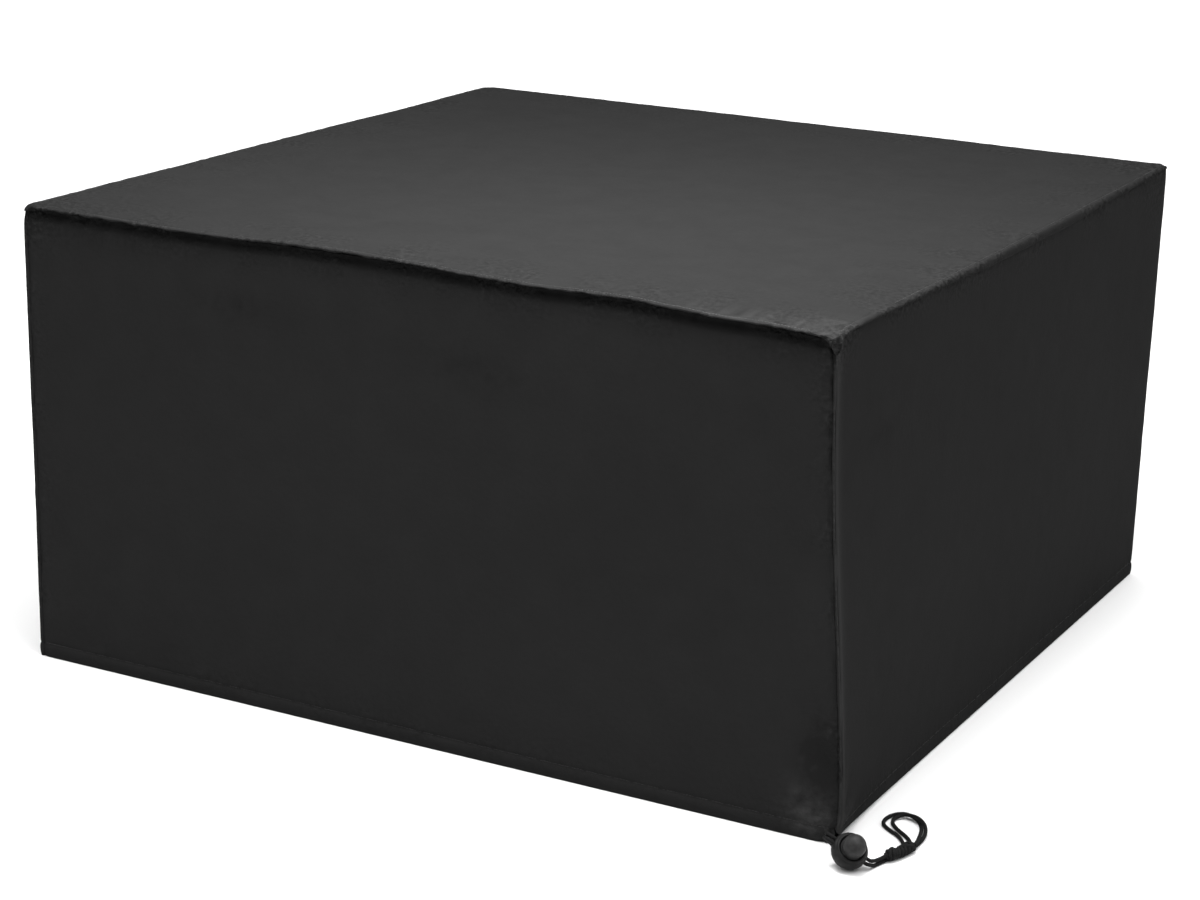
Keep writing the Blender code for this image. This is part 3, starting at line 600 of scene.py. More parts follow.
# Tuck under the rim: height from the seam and share of the side's tuck.
TUCKED = (
    (-0.045, 0.0), (-0.036, 0.03), (-0.028, 0.09), (-0.021, 0.18), (-0.0155, 0.28),
    (-0.0115, 0.4), (-0.0085, 0.54), (-0.0062, 0.68), (-0.0042, 0.81), (-0.0025, 0.92),
    (-0.001, 1.0), (0.0015, 1.06), (0.004, 1.1),
)
# Where a wall's columns of points stand, from its corner on, and how many spans lie between them.
NEAR_STATIONS = (0, 0.0012, 0.0025, ROUND, 0.0048, 0.0060, SEAM_AT)
WIDER_STATIONS = (0.0078, 0.0090, 0.0106, 0.0126, 0.0150, 0.0180, 0.0216, 0.0260, 0.0315, 0.0380)
WALL_STATIONS = NEAR_STATIONS + WIDER_STATIONS
WALL_SPANS = 170


def smooth(share):
    """0 below 0, 1 above 1, with a soft start and end."""
    share = min(1.0, max(0.0, share))
    return share * share * (3 - 2 * share)


def between(at, low, high):
    """0 below low, 1 above high, with a soft start and end."""
    return smooth((at - low) / (high - low))


def fade(away, reach):
    """1 at its middle, dying away over a reach."""
    return math.exp(-((away / reach) ** 2))


def from_end(side, along):
    return min(along, LENGTHS[side] - along)


def along_table(rows, at):
    """The values of a table's row at a place between its rows, eased from row to row."""
    for row, after in zip(rows, rows[1:]):
        if at <= after[0]:
            part = between(at, row[0], after[0])
            return [a + (b - a) * part for a, b in zip(row[1:], after[1:])]
    return list(rows[-1][1:])


def edge_at(side, along):
    """Height of the top edge and its drop to the seam."""
    return along_table(EDGES[side], along / LENGTHS[side])


def seam_at(side, along):
    """Height of the seam under the rim."""
    top, drop = edge_at(side, along)
    return top - drop


def post_at(corner, height):
    """The corner's sharp upright edge at a height."""
    top_x, top_y, top_z, hem_x, hem_y = CORNERS[corner % 4]
    share = height / top_z
    return Vector((hem_x + (top_x - hem_x) * share, hem_y + (top_y - hem_y) * share, height))


def stand_out(side, along, height):
    """How far the near corner stands out to the right, at a place on the walls beside it."""
    if side > 1:
        return 0.0
    away = along if side else LENGTH - along
    low = 1 - between(height, *STAND_OUT_FADE)
    return STAND_OUT * (1 - math.exp(-height / DRAWN_IN)) * low * math.exp(-away / STAND_OUT_REACH)


def swelling(across, up, reach, tall, lean):
    """A soft oval swelling's height at a place, given from its middle: 1 there, and 0 far off."""
    turn = math.radians(lean)
    run = (across * math.cos(turn) + up * math.sin(turn)) / reach
    rise = (up * math.cos(turn) - across * math.sin(turn)) / tall
    return math.exp(-run * run - rise * rise)


def fold_at(side, along, height):
    total = 0.0
    for share, middle, reach, tall, lean, amount in FOLDS[side]:
        total += amount * swelling(along - share * LENGTHS[side], height - middle, reach, tall, lean)
    low_high = min(height, seam_at(side, along) - height)
    return total * smooth(from_end(side, along) / FOLD_FREE) * smooth(low_high / FOLD_FREE)


def skin_point(side, along, height, out):
    """A point of the cover's skin, so far out from the outline. At a corner it goes round an arc."""
    length = LENGTHS[side]
    at_end = along > length / 2
    station = length - along if at_end else along
    begins = max(ROUND, -out)  # where the straight part begins, from the sharp corner
    bend = max(0.0, ROUND + out)  # radius of the arc
    if station < ROUND:
        turn = math.pi / 4 * (1 - station / ROUND)
        station, inward = begins - bend * math.sin(turn), begins - bend * math.cos(turn)
    else:
        spread = (length / 2 - begins) / (length / 2 - ROUND)
        station, inward = begins + (station - ROUND) * spread, -out
    share = (length - station if at_end else station) / length
    point = post_at(side, height).lerp(post_at(side + 1, height), share)
    outward = Vector((*OUTWARD[side], 0))
    point += outward * (fold_at(side, along, height) - inward)
    point.x += stand_out(side, along, height)
    return point


# Creases listed one by one where the cloth is gathered: x, y, z of the middle, the way it runs, its half
# length and half width, and how far it stands out. Near top corner first, then the drawn-in hem.
CREASES = (
    (0.6735, -0.6905, 0.7190, (0.05, 0.0, 1.0), 0.016, 0.0022, -0.0030),
    (0.6690, -0.6915, 0.7205, (0.45, 0.0, 0.9), 0.013, 0.0020, 0.0014),
    (0.6640, -0.6915, 0.7235, (0.75, 0.0, 0.6), 0.011, 0.0020, -0.0016),
    (0.6580, -0.6915, 0.7250, (0.90, 0.0, 0.4), 0.010, 0.0018, 0.0010),
    (0.6745, -0.6850, 0.7215, (0.0, -0.45, 0.9), 0.013, 0.0020, 0.0013),
    (0.6750, -0.6800, 0.7255, (0.0, -0.75, 0.6), 0.011, 0.0020, -0.0015),
    (0.6650, -0.6800, 0.7330, (0.7, -0.7, 0.1), 0.016, 0.0026, -0.0016),
    (0.6580, -0.6850, 0.7335, (0.95, -0.3, 0.1), 0.014, 0.0024, 0.0012),
    (0.6690, -0.6720, 0.7345, (0.3, -0.95, 0.1), 0.014, 0.0024, 0.0012),
    (0.6500, -0.6780, 0.7345, (0.9, -0.45, 0.0), 0.018, 0.0030, -0.0010),
    (0.6700, -0.6910, 0.6980, (0.12, 0.0, 1.0), 0.020, 0.0040, -0.0020),
    (0.6600, -0.6910, 0.6900, (0.35, 0.0, 0.95), 0.022, 0.0050, 0.0014),
    (0.6900, -0.6860, 0.0330, (-0.20, 0.0, 1.0), 0.022, 0.0040, 0.0022),
    (0.6780, -0.6860, 0.0400, (-0.55, 0.0, 0.8), 0.028, 0.0050, -0.0028),
    (0.6650, -0.6860, 0.0360, (-0.80, 0.0, 0.6), 0.026, 0.0050, 0.0026),
    (0.6560, -0.6860, 0.0480, (-0.80, 0.0, 0.6), 0.028, 0.0060, -0.0024),
    (0.6800, -0.6860, 0.0700, (-0.40, 0.0, 0.9), 0.030, 0.0060, 0.0024),
    (0.6640, -0.6860, 0.0760, (-0.65, 0.0, 0.75), 0.026, 0.0060, -0.0020),
    (0.6450, -0.6860, 0.0700, (-0.90, 0.0, 0.45), 0.030, 0.0070, 0.0018),
    (0.6900, -0.6870, 0.1020, (-0.15, 0.0, 1.0), 0.040, 0.0080, -0.0036),
    (0.6720, -0.6870, 0.1300, (-0.30, 0.0, 0.95), 0.045, 0.0130, -0.0040),
    (0.6500, -0.6870, 0.1050, (-0.60, 0.0, 0.8), 0.034, 0.0100, 0.0020),
    (0.7020, -0.6600, 0.0360, (0.0, 0.80, 0.60), 0.030, 0.0050, -0.0020),
    (0.7040, -0.6480, 0.0500, (0.0, 0.85, 0.50), 0.036, 0.0070, 0.0020),
    (0.7050, -0.6620, 0.0640, (0.0, 0.50, 0.85), 0.032, 0.0060, -0.0018),
    (0.7060, -0.6720, 0.0800, (0.0, 0.20, 1.0), 0.040, 0.0060, 0.0016),
    (0.7040, -0.6200, 0.0340, (0.0, 0.95, 0.30), 0.050, 0.0070, -0.0016),
)
CREASE_FAR = 0.02  # square metres: from further off a crease isn't reckoned
CORNER_HIGHLIGHT = 0.36  # painted highlight along the rounded upright corners
CORNER_HIGHLIGHT_WIDE = (0.0050, 0.0150)  # towards the seam, and away from it
RIM_SHADE = 0.16  # painted shade on the cloth close under the front rim
RIM_SHADE_TALL = 0.030
WRINKLE = 0.0004  # height of the crumple all over
WRINKLE_ACROSS = 0.034
WRINKLE_FREE = 0.02  # it dies away this close to the floor and the rim
SWELL = 2.2  # height of the broad swell, and how close together it comes, of the crumple's
SWELL_CLOSE = 0.16
EDGE_CRUMPLE = 0.0011  # and of the finer crumple where the cloth is sewn
EDGE_CRUMPLE_ACROSS = 0.0080
EDGE_REACH = 0.022
EDGE_PATCHES = (22, 0.5, 1.6)  # in a metre, how strong on average, and how uneven
GATHER_PATCHES = (16, 0.55, 1.3)
GATHER_REACH = 0.016
GATHER_ALL = 0.05
# Where the cloth is gathered most: x, y, z, reach and how much.
GATHERED = (
    (0.675, -0.690, 0.722, 0.030, 1.0),
    (0.672, -0.687, 0.035, 0.040, 0.4),
    (0.660, 0.660, 0.745, 0.080, 0.8),
    (-0.690, -0.680, 0.740, 0.060, 0.8),
)
HEM_GATHER = 0.3  # the hem is gathered less than the seams
HEM_GATHER_TO = 0.1  # up to this height
PUCKER = 0.0007  # of the cloth along a line of stitches
PUCKER_EVERY = 0.011
PUCKER_WIDE = 0.010
PUCKER_WANDER = (35, 2.5)  # in a metre, and how far
HEM_PUCKER = 0.8  # of the others
UPRIGHT_PUCKER_FROM = 0.05  # the upright seams' puckers grow up to this height


def crease_rise(point):
    total = 0.0
    for x, y, z, way, reach, wide, amount in CREASES:
        away = point - Vector((x, y, z))
        if away.length_squared < CREASE_FAR:
            way = Vector(way).normalized()
            run = away.dot(way)
            across = (away - way * run).length
            total += amount * math.exp(-((run / reach) ** 2) - (across / wide) ** 2)
    return total


def patchy(point, patches, shift):
    """How strong a thing is that comes in patches. The shift keeps two such things from matching."""
    number, mean, uneven = patches
    return smooth(mean + uneven * noise.noise(point * number + Vector(shift)))


def gather_at(point, from_edge):
    """How finely crumpled the cloth is: most where it is sewn, and in patches."""
    near = math.exp(-max(0.0, from_edge) / GATHER_REACH)
    if point.z < HEM_GATHER_TO:
        near *= HEM_GATHER
    corner = max(amount * fade((point - Vector(at)).length, reach) for *at, reach, amount in GATHERED)
    return GATHER_ALL + near * patchy(point, GATHER_PATCHES, (4, 1, 8)) + corner


def crumple(point, from_edge):
    """Unevenness of the cloth: a broad swell, a small crumple, and a finer one near sewn edges."""
    broad = noise.noise(point * (SWELL_CLOSE / WRINKLE_ACROSS))
    small = noise.noise(point * (1 / WRINKLE_ACROSS) + Vector((7, 3, 1)))
    near = math.exp(-max(0.0, from_edge) / EDGE_REACH)
    fine = noise.noise(point * (1 / EDGE_CRUMPLE_ACROSS)) * near * patchy(point, EDGE_PATCHES, (2, 9, 5))
    return WRINKLE * (SWELL * broad + small) + EDGE_CRUMPLE * fine


def pucker(run, away):
    """Puckers along a seam: a ripple that dies away from it."""
    number, far = PUCKER_WANDER
    wander = far * noise.noise(Vector((run * number, 0, 4)))
    return PUCKER * math.sin(2 * math.pi * run / PUCKER_EVERY + wander) * math.exp(-away / PUCKER_WIDE)


def stations(length, near, spans):
    """Distances along a side, close together near both corners."""
    first, last = near[-1], length - near[-1]
    middle = [first + (last - first) * k / spans for k in range(1, spans)]
    return [*near, *middle, *(length - station for station in reversed(near))]


def curl_at(side, along):
    uneven = 1 + CURL_UNEVEN * noise.noise(Vector((along * CURL_WAVES, side, 6)))
    return CURL[side] * uneven * between(from_end(side, along), *CURL_FREE)


def pull_at(side, along):
    """How strongly the nearer corner shows."""
    return CORNER_PULL[(side + (along > LENGTHS[side] / 2)) % 4]


def wall_out(side, along, height):
    """How far the wall's cloth stands out from the outline: hem, tuck, seams and puckers."""
    station = from_end(side, along)
    below = seam_at(side, along) - height
    out = along_table(HEM, height)[0]
    if below < -TUCKED[0][0]:
        depth = max(0.0, below) / UNDERCUT_TALL[side]
        tail = UNDERCUT_TAIL * fade(depth, UNDERCUT_TAIL_TALL)
        cut = UNDERCUT[side] * ((1 - UNDERCUT_TAIL) * fade(depth, 1) + tail)
        out -= TUCK[side] * along_table(TUCKED, -below)[0] + cut * curl_at(side, along) / CURL[side]
    pull = pull_at(side, along)
    ripple = 0.0
    if side in SEWN:
        away = abs(station - SEAM_AT)
        beyond = station <= SEAM_AT
        out -= GROOVE * fade(away, GROOVE_WIDE[beyond])
        out -= pull * VALLEY * fade(away, VALLEY_WIDE[beyond])
        ripple = pucker(height, away) * smooth(height / UPRIGHT_PUCKER_FROM)
    out += pull * SEAM_SWELL * fade(station, SEAM_SWELL_WIDE)
    hem_ripple = pucker(along + side + 3, abs(height - HEM_SEWN)) * HEM_PUCKER
    return out + ripple + (pucker(along + side, below) + hem_ripple)


# Painted highlights, painted shade, and lighter and darker patches: x, y, z, reach across and up, and how
# much.
LIGHT_AND_WEAR_SPOTS = (
    # Painted highlight on the near top corner.
    (0.672, -0.691, 0.722, 0.016, 0.016, 0.55),
    # Lighter patches on the gathered hem by the drawcord's mouth.
    (0.668, -0.687, 0.034, 0.030, 0.024, 0.75),
    (0.655, -0.687, 0.070, 0.030, 0.030, 0.35),
    (0.715, -0.640, 0.034, 0.040, 0.016, 0.45),
    # Painted shade in the hollow above the near hem.
    (0.680, -0.690, 0.120, 0.030, 0.050, -0.50),
    # Faint darker patches on the walls.
    (-0.300, -0.690, 0.640, 0.080, 0.020, -0.09),
    (0.120, -0.690, 0.600, 0.080, 0.028, -0.09),
    (0.690, -0.540, 0.560, 0.050, 0.020, -0.09),
    # Painted highlight along the front rim towards the near corner.
    (0.560, -0.692, 0.736, 0.130, 0.005, 0.30),
    (0.655, -0.675, 0.736, 0.045, 0.012, 0.25),
)
WEAR_ALL = 0.12
SPOT_MEAN = 0.6  # the spots are broken up by a coarse and a fine grain
SPOT_COARSE, SPOT_COARSE_GRAINS = 0.9, 90  # how strong, and how many in a metre
SPOT_FINE, SPOT_FINE_GRAINS = 0.5, 240


def light_and_wear_at(point):
    total = 0.0
    for x, y, z, across, tall, amount in LIGHT_AND_WEAR_SPOTS:
        away = ((point.x - x) ** 2 + (point.y - y) ** 2) / across**2 + ((point.z - z) / tall) ** 2
        if away < 9:  # nothing is left of a rub at three times its reach
            total += amount * math.exp(-away)
    grain = SPOT_MEAN + SPOT_COARSE * noise.noise(point * SPOT_COARSE_GRAINS)
    return WEAR_ALL + total * (grain + SPOT_FINE * noise.noise(point * SPOT_FINE_GRAINS))


def wall_place(side, along, height):
    """A point of a wall's cloth, its painted highlights, painted shade and wear there, and how finely
    crumpled.
    """
    station = from_end(side, along)
    below = seam_at(side, along) - height
    out = wall_out(side, along, height)
    flat = skin_point(side, along, height, out)
    from_edge = abs(min(below, height - HEM_SEWN, station if side in SEWN else 1))
    rise = crease_rise(flat) + crumple(flat, from_edge) * smooth(min(height, below) / WRINKLE_FREE)
    point = skin_point(side, along, height, out + rise)
    painted_light_and_wear = 0.0
    # Painted highlight along the rounded upright corner.
    if side not in SEWN or station <= SEAM_AT:
        painted_light_and_wear = CORNER_HIGHLIGHT * fade(station, CORNER_HIGHLIGHT_WIDE[side % 2]) * pull_at(side, along)
    # Painted shade close under the front rim.
    if side == 0:
        painted_light_and_wear -= RIM_SHADE * fade(below, RIM_SHADE_TALL)
    # Adds the spots' painted highlights, painted shade and lighter patches.
    return point, painted_light_and_wear + light_and_wear_at(point), gather_at(point, from_edge)


def grid_faces(columns, rows):
    faces = []
    for row in range(rows - 1):
        for column in range(columns - 1):
            first = row * columns + column
            faces.append((first, first + 1, first + columns + 1, first + columns))
    return faces


def heights(side, along):
    """The heights of a column of points."""
    seam = seam_at(side, along)
    low, high = HEM[-1][0], seam + TUCKED[0][0]
    middle = [low + (high - low) * k / (WALL_ROWS + 1) for k in range(1, WALL_ROWS + 1)]
    return [row[0] for row in HEM] + middle + [seam + row[0] for row in TUCKED]


def add_cloth(stands_for, columns, rows, places, uvs):
    """A sheet of cloth over a grid of places, each a point, its painted light, painted shade and wear, and
    how finely crumpled.
    """
    points, painted_light_and_wear, gather = zip(*places)
    sheet = add_mesh(stands_for + "_cloth", points, grid_faces(columns, rows), coated_polyester, uvs)
    for name, values in (("painted_light_and_wear", painted_light_and_wear), ("gather", gather)):
        sheet.data.attributes.new(name, "FLOAT", "POINT").data.foreach_set("value", values)
    thick = sheet.modifiers.new("cloth", "SOLIDIFY")
    thick.thickness = CLOTH
    thick.offset = -1
    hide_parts(stands_for)
    return sheet


MOUTH_FROM = 0.0045  # the front's hem runs on to here, before the corner
MOUTH_TO = 0.0090  # and the right wall's hem starts here, beyond it
MOUTH_TALL = (0.013, 0.024)  # open up to the first height and shut from the second
FRONT_EASE = 0.020  # how much of each wall is shifted to make room
RIGHT_EASE = 0.030


def add_wall(name, columns):
    """A wall's sheet of cloth. Its columns are (side, along), and at the drawcord's mouth the lowest
    rows start elsewhere."""
    places, uvs, run = [], [], [0.0]
    for (side, along), (after_side, after) in zip(columns, columns[1:]):
        run.append(run[-1] + (after - along if side == after_side else LENGTHS[side] - along + after))
    rows = list(zip(*(heights(side, along) for side, along in columns)))
    for row in rows:
        for (side, along), height, far in zip(columns, row, run):
            open_at = 1 - between(height, *MOUTH_TALL)
            if name == "front_panel" and LENGTH - along < FRONT_EASE:
                away = LENGTH - along
                moved = MOUTH_FROM + (away - SEAM_AT) * (FRONT_EASE - MOUTH_FROM) / (FRONT_EASE - SEAM_AT)
                along = LENGTH - (away + (moved - away) * open_at)
            if name == "right_panel" and far < RIGHT_EASE and open_at > 0:
                from_corner = MOUTH_TO + (RIGHT_EASE - 2 * SEAM_AT - MOUTH_TO) * (far / RIGHT_EASE)
                moved = (far - SEAM_AT) * (1 - open_at) + from_corner * open_at
                side, along = (1, moved) if moved >= 0 else (0, LENGTH + moved)
            places.append(wall_place(side, along, height))
            uvs.append((far, height))
    return add_cloth(name, len(columns), len(rows), places, uvs)


# Woven polyester with a polyurethane coat, calendered matt: an even charcoal with the weave just showing
# through the coat, painted lighter and darker for light and shade on its crumples, corners and rim, and
# lighter where rubbed.
CLOTH_DEEP = "#191919"
CLOTH_LIGHT = "#1b1b1b"
# The lighter grey that the painted highlights and the rubbed patches mix towards.
CLOTH_LIT_AND_RUBBED = "#363636"
THREAD = 0.0012  # spacing drawn for threads that are about 0.5 mm apart, so that they can show
MOTTLE = 0.055  # across a patch of tone
CRUMPLE_PAINTED_SHADE = 1.3  # how much the fine crumples are painted lighter on their tops and darker in their hollows
CRUMPLED = 0.0075  # across one of the fine crumples beside a seam
CRUSH_PATCHES = 70  # in a metre, of the faint creasing all over

coated_polyester, tree, shader = material_start("coated_polyester_weave")
place = node(tree, "TexCoord")
solid = place.outputs["Object"]
patches = node(tree, "TexNoise", {"Vector": solid}, Scale=1 / MOTTLE, Detail=4.0)
tone = node(tree, "ValToRGB", {"Fac": patches.outputs["Fac"]})
for stop, at, colour in zip(tone.color_ramp.elements, (0.30, 0.72), (CLOTH_DEEP, CLOTH_LIGHT)):
    stop.position, stop.color = at, linear(colour)
cross = node(tree, "SeparateXYZ", {"Vector": place.outputs["UV"]})
waves = []
for axis in ("X", "Y"):
    turns = {0: cross.outputs[axis], 1: 2 * math.pi / THREAD}
    turned = node(tree, "Math", turns, operation="MULTIPLY")
    waves.append(node(tree, "Math", {0: turned.outputs[0]}, operation="SINE").outputs[0])
weave = node(tree, "Math", {0: waves[0], 1: waves[1]}, operation="MULTIPLY")
crush = node(tree, "TexNoise", {"Vector": solid}, Scale=CRUSH_PATCHES, Detail=3.0)
fine = node(tree, "TexNoise", {"Vector": solid}, Scale=1 / CRUMPLED, Detail=3.0).outputs["Fac"]
gathered = node(tree, "Attribute", attribute_name="gather").outputs["Fac"]
painted_light_and_wear_fac = node(tree, "Attribute", attribute_name="painted_light_and_wear").outputs["Fac"]
rise = node(tree, "Math", {0: fine, 1: gathered}, operation="MULTIPLY")
bump = node(tree, "Bump", {"Height": weave.outputs[0]}, Strength=0.25, Distance=0.00006)
for height, strength, distance in ((crush, 0.25, 0.0012), (rise, 1.0, 0.0065)):
    under = {"Height": height.outputs[0], "Normal": bump.outputs["Normal"]}
    bump = node(tree, "Bump", under, Strength=strength, Distance=distance)
# Painted shade and light on the fine crumples: darker in their hollows, lighter on their tops.
offset = node(tree, "Math", {0: fine, 1: 0.5}, operation="SUBTRACT")
crumple_shade = node(tree, "Math", {0: offset.outputs[0], 1: gathered}, operation="MULTIPLY")
crumple_shading = {0: crumple_shade.outputs[0], 1: CRUMPLE_PAINTED_SHADE, 2: painted_light_and_wear_fac}
lightened = node(tree, "Math", crumple_shading, operation="MULTIPLY_ADD")
# Mixed towards the lighter grey by the painted light and shade and by the wear.
mixed = {"Factor": lightened.outputs[0], "A": tone.outputs["Color"], "B": linear(CLOTH_LIT_AND_RUBBED)}
lit_and_rubbed_tone = node(tree, "Mix", mixed, data_type="RGBA", clamp_factor=True)
feed(shader, {"Base Color": lit_and_rubbed_tone.outputs["Result"], "Normal": bump.outputs["Normal"]})
feed(shader, {"Roughness": 0.62, "Specular IOR Level": 0.003})

for side, name in ((0, "front_panel"), (2, "back_panel")):
    inner = [s for s in stations(LENGTH, WALL_STATIONS, WALL_SPANS) if SEAM_AT < s < LENGTH - SEAM_AT]
    start, end = SEAM_AT + SEAM_GAP, LENGTH - SEAM_AT - SEAM_GAP
    add_wall(name, [(side, along) for along in [start, *inner, end]])
for side, name in ((1, "right_panel"), (3, "left_panel")):
    before, after = side - 1, (side + 1) % 4
    round_one = [(before, LENGTH - station) for station in reversed(NEAR_STATIONS[1:])]
    flat = [(side, along) for along in stations(DEPTH, WALL_STATIONS, WALL_SPANS)]
    round_two = [(after, station) for station in NEAR_STATIONS[1:]]
    add_wall(name, round_one + flat + round_two)

# ---------------------------------------------------------------------------------------------------
# The top panel: one square of the same cloth. Its rim rolls over the edge of what it covers and is
# sewn down, so that a line of stitches runs round it just inside the edge.
CROWN = 0.738  # height of the middle
FLAT_FROM = 0.30  # it is level this far from the edges
# The rim, from the seam up over the edge: how far out, share of the drop below the edge, and rise.
# The last two values are how far out and the share where the rim curls in under the edge.
RIM = (
    (-0.0050, 1.02, 0.0000, -0.0135, 0.66),
    (-0.0028, 1.02, 0.0000, -0.0120, 0.62),
    (-0.0008, 1.00, 0.0000, -0.0098, 0.57),
    (0.0008, 0.96, 0.0000, -0.0068, 0.50),
    (0.0019, 0.86, 0.0000, -0.0032, 0.43),
    (0.0022, 0.70, 0.0000, -0.0002, 0.35),
    (0.0017, 0.51, 0.0000, 0.0012, 0.25),
    (0.0005, 0.31, 0.0000, 0.0012, 0.13),
    (-0.0014, 0.14, 0.0000, -0.0006, 0.03),
    (-0.0034, 0.05, 0.0000, -0.0034, 0.00),
    (-0.0052, 0.01, -0.0002, -0.0062, 0.00),
    (-0.0066, 0.00, -0.0008, -0.0080, 0.00),
    (-0.0086, 0.00, -0.0002, -0.0100, 0.00),
    (-0.0112, 0.00, 0.0005, -0.0125, 0.00),
    (-0.0150, 0.00, 0.0004, -0.0155, 0.00),
)
RIM_STITCH = 11  # the row of the rim that the stitches run in
RIM_PUCKERED = 8  # the last row that their puckers show in
RIM_ROWS_APART = 0.002
RIDGES = (
    (0.56, -0.55, 0.14, 0.045, 38, 0.0020),
    (0.52, 0.57, 0.16, 0.050, -42, 0.0025),
    (-0.55, -0.50, 0.18, 0.060, -28, 0.0020),
    (-0.50, 0.56, 0.16, 0.055, 40, -0.0020),
    (-0.15, -0.60, 0.24, 0.050, 5, 0.0015),
)  # x, y, half length, half width, direction in degrees, height
TOP_NEAR = (0, 0.0012, 0.0025, ROUND, 0.0050, 0.0066, 0.0084, 0.0104, 0.0128, 0.0156, 0.0190, 0.0230)
TOP_WIDER = (0.0275, 0.0325, 0.0380, 0.0440, 0.0505, 0.0575, 0.0650)
TOP_SPANS = 150
TOP_GATHER = 3  # the gathers reach this much further in than down the walls
TOP_CRUMPLE = (2, 5)  # the crumple starts after so many rows and grows over the next ones


def rim_point(side, along, ring):
    out, share, rise, curled_out, curled_share = RIM[ring]
    curl = curl_at(side, along)
    out += (curled_out - out) * curl
    share += (curled_share - share) * curl
    top, drop = edge_at(side, along)
    if ring <= RIM_PUCKERED:
        out += pucker(along + side, (RIM_STITCH - ring) * RIM_ROWS_APART)
    return skin_point(side, along, top - drop * share + rise, out)


def crown_rise(place):
    total = 0.0
    for x, y, reach, wide, direction, height in RIDGES:
        total += height * swelling(place.x - x, place.y - y, reach, wide, direction)
    return total


def crown_point(u, v):
    front, right = edge_at(0, u * LENGTH)[0], edge_at(1, v * DEPTH)[0]
    back, left = edge_at(2, (1 - u) * LENGTH)[0], edge_at(3, (1 - v) * DEPTH)[0]
    c = [corner[2] for corner in CORNERS]
    height = front + (back - front) * v + left + (right - left) * u
    height -= (c[0] + (c[1] - c[0]) * u) * (1 - v) + (c[3] + (c[2] - c[3]) * u) * v
    tops = [Vector((corner[0], corner[1], 0)) for corner in CORNERS]
    place = tops[0].lerp(tops[1], u).lerp(tops[3].lerp(tops[2], u), v)
    inside = min(min(u, 1 - u) * LENGTH, min(v, 1 - v) * DEPTH)
    height += (CROWN - height) * smooth(inside / FLAT_FROM)
    place.z = height + crown_rise(place)
    return place


def crown_share(station, length):
    """A station's share of the way, squeezed so that the rim's rows fit outside it."""
    inset = -RIM[-1][0]
    half = length / 2
    from_end = min(station, length - station)
    place = inset + (from_end - ROUND) * (half - inset) / (half - ROUND)
    return (place if station <= half else length - place) / length


xs, ys = (stations(length, TOP_NEAR + TOP_WIDER, TOP_SPANS) for length in (LENGTH, DEPTH))
places, uvs = [], []
for row, y in enumerate(ys):
    for column, x in enumerate(xs):
        to_right, to_back = len(xs) - 1 - column, len(ys) - 1 - row
        ring = min(column, row, to_right, to_back)
        if ring >= len(RIM):
            point = crown_point(crown_share(x, LENGTH), crown_share(y, DEPTH))
        elif row == ring and to_right > ring:
            point = rim_point(0, x, ring)
        elif to_right == ring and to_back > ring:
            point = rim_point(1, y, ring)
        elif to_back == ring and column > ring:
            point = rim_point(2, LENGTH - x, ring)
        else:
            point = rim_point(3, DEPTH - y, ring)
        inside = min(x, y, LENGTH - x, DEPTH - y)
        grown = smooth((ring - TOP_CRUMPLE[0]) / TOP_CRUMPLE[1])
        lift = crease_rise(point) + crumple(point, inside) * grown
        lifted = point + Vector((0, 0, lift))
        # The top's cloth gets the spots too: painted highlights along its front rim and near corner.
        places.append((lifted, light_and_wear_at(point), gather_at(point, inside / TOP_GATHER)))
        uvs.append((x, y))
top = add_cloth("top_panel", len(xs), len(ys), places, uvs)

# ---------------------------------------------------------------------------------------------------
# The stitches: black bonded polyester thread, sunk in the cloth, once round the top just inside its
# edge and once round the top of the hem.
STITCH = 0.0040
STITCH_EVERY = 0.0050
STITCH_FREE = 0.012  # none this close to a corner
STITCH_SIDES = 6
THREAD_THICK = 0.0006
THREAD_PROUD = THREAD_THICK / 4  # how far its middle stands out of the cloth
# Along a stitch: share of its length and of its thickness.
STITCH_ROWS = ((0.0, 0.30), (0.12, 0.80), (0.5, 1.0), (0.88, 0.80), (1.0, 0.30))


def add_stitch(start, end, outward, points, faces):
    ahead = (end - start).normalized()
    across = ahead.cross(outward).normalized()
    first = len(points)
    for share, thick in STITCH_ROWS:
        middle = start.lerp(end, share)
        for k in range(STITCH_SIDES):
            turn = 2 * math.pi * k / STITCH_SIDES
            out = across * math.cos(turn) + outward * math.sin(turn)
            points.append(middle + out * (THREAD_THICK / 2 * thick))
    rings = len(STITCH_ROWS)
    faces += ring_faces(first, rings, STITCH_SIDES) + end_faces(first, rings, STITCH_SIDES)


# Bonded polyester thread, dyed black: a soft shine along the twist.
THREAD_DYE = ("#161616", "#2c2c2c")
TWISTS = 900  # in a metre

bonded_thread, tree, shader = material_start("bonded_polyester_thread")
place = node(tree, "TexCoord").outputs["Object"]
twist = node(tree, "TexNoise", {"Vector": place}, Scale=TWISTS)
tone = node(tree, "ValToRGB", {"Fac": twist.outputs["Fac"]})
for stop, colour in zip(tone.color_ramp.elements, THREAD_DYE):
    stop.color = linear(colour)
feed(shader, {"Base Color": tone.outputs["Color"], "Roughness": 0.45})

for name in ("rim_stitches", "hem_stitches"):
    points, faces = [], []
    for side, length in enumerate(LENGTHS):
        for k in range(int((length - 2 * STITCH_FREE) / STITCH_EVERY)):
            along = STITCH_FREE + k * STITCH_EVERY
            ends = []
            for reach in (along, along + STITCH):
                if name == "rim_stitches":
                    outward = Vector((0, 0, 1))
                    point = rim_point(side, reach, RIM_STITCH)
                    point.z += crease_rise(point) + THREAD_PROUD
                else:
                    outward = Vector((*OUTWARD[side], 0))
                    point = wall_place(side, reach, HEM_SEWN)[0] + outward * THREAD_PROUD
                ends.append(point)
            add_stitch(*ends, outward, points, faces)
    stitches = add_mesh(name, points, faces, bonded_thread)

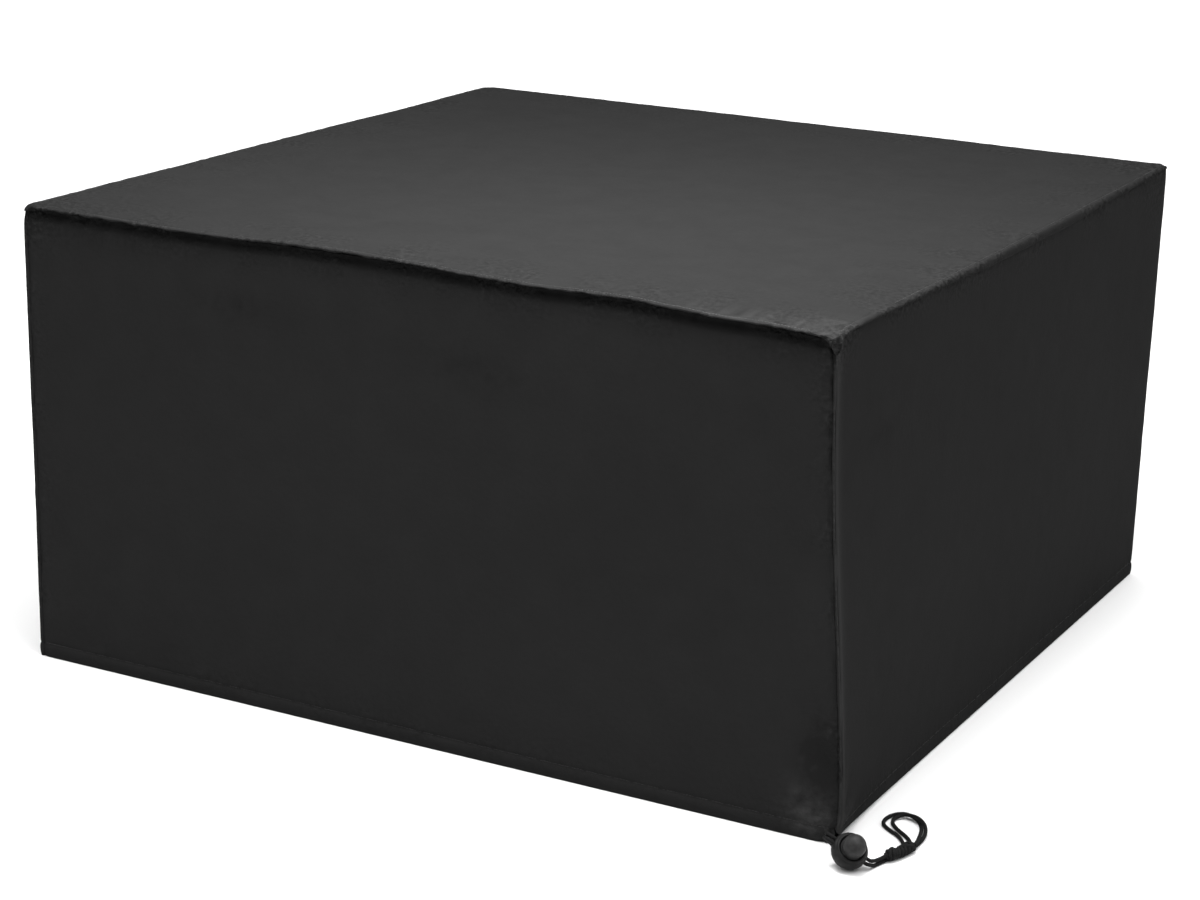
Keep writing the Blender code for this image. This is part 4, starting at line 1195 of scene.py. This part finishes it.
# ---------------------------------------------------------------------------------------------------
# The studio: a pale seamless floor, a soft bright ceiling, and a large soft light that hangs above
# the front of the cover and looks straight down.
FLOOR = "#dedede"
FLOOR_HALF = 30.0

studio_paint, tree, shader = material_start("matt_studio_floor")
feed(shader, {"Base Color": linear(FLOOR), "Roughness": 0.9, "Specular IOR Level": 0.0})
corners = [(x * FLOOR_HALF, y * FLOOR_HALF, 0) for x, y in ((-1, -1), (1, -1), (1, 1), (-1, 1))]
mesh = bpy.data.meshes.new("studio_floor")
mesh.from_pydata(corners, [], [(0, 1, 2, 3)])
mesh.materials.append(studio_paint)
floor = bpy.data.objects.new("studio_floor", mesh)
bpy.context.scene.collection.objects.link(floor)

DOME_TOP = 3.5  # brightness overhead
DOME_SIDE = 0.05  # and at the horizon
DOME_RISE = 1.8  # how slowly it grows brighter above the horizon
world = bpy.data.worlds.new("studio")
bpy.context.scene.world = world
world.use_nodes = True
tree = world.node_tree
background = tree.nodes["Background"]
way = node(tree, "TexCoord").outputs["Generated"]
up = node(tree, "SeparateXYZ", {"Vector": way}).outputs["Z"]
above = node(tree, "Math", {0: up, 1: 0.0}, operation="MAXIMUM").outputs[0]
rising = node(tree, "Math", {0: above, 1: DOME_RISE}, operation="POWER").outputs[0]
bright = node(tree, "MapRange", {"Value": rising}, To_Min=DOME_SIDE, To_Max=DOME_TOP)
feed(background, {"Color": (1, 1, 1, 1), "Strength": bright.outputs["Result"]})

SOFTBOX_AT = (0.24, -0.55, 1.95)
SOFTBOX_AIMS_AT = (0.24, -0.55, 0.7)
SOFTBOX_SIZE = 1.1
SOFTBOX_POWER = 78
softbox = bpy.data.objects.new("softbox", bpy.data.lights.new("softbox", "AREA"))
softbox.data.energy = SOFTBOX_POWER
softbox.data.size = SOFTBOX_SIZE
aim = Vector(SOFTBOX_AIMS_AT) - Vector(SOFTBOX_AT)
softbox.matrix_world = Matrix.Translation(SOFTBOX_AT) @ aim.to_track_quat("-Z", "Y").to_matrix().to_4x4()
bpy.context.scene.collection.objects.link(softbox)
bpy.context.scene.view_settings.view_transform = "Standard"

bpy.context.view_layer.update()
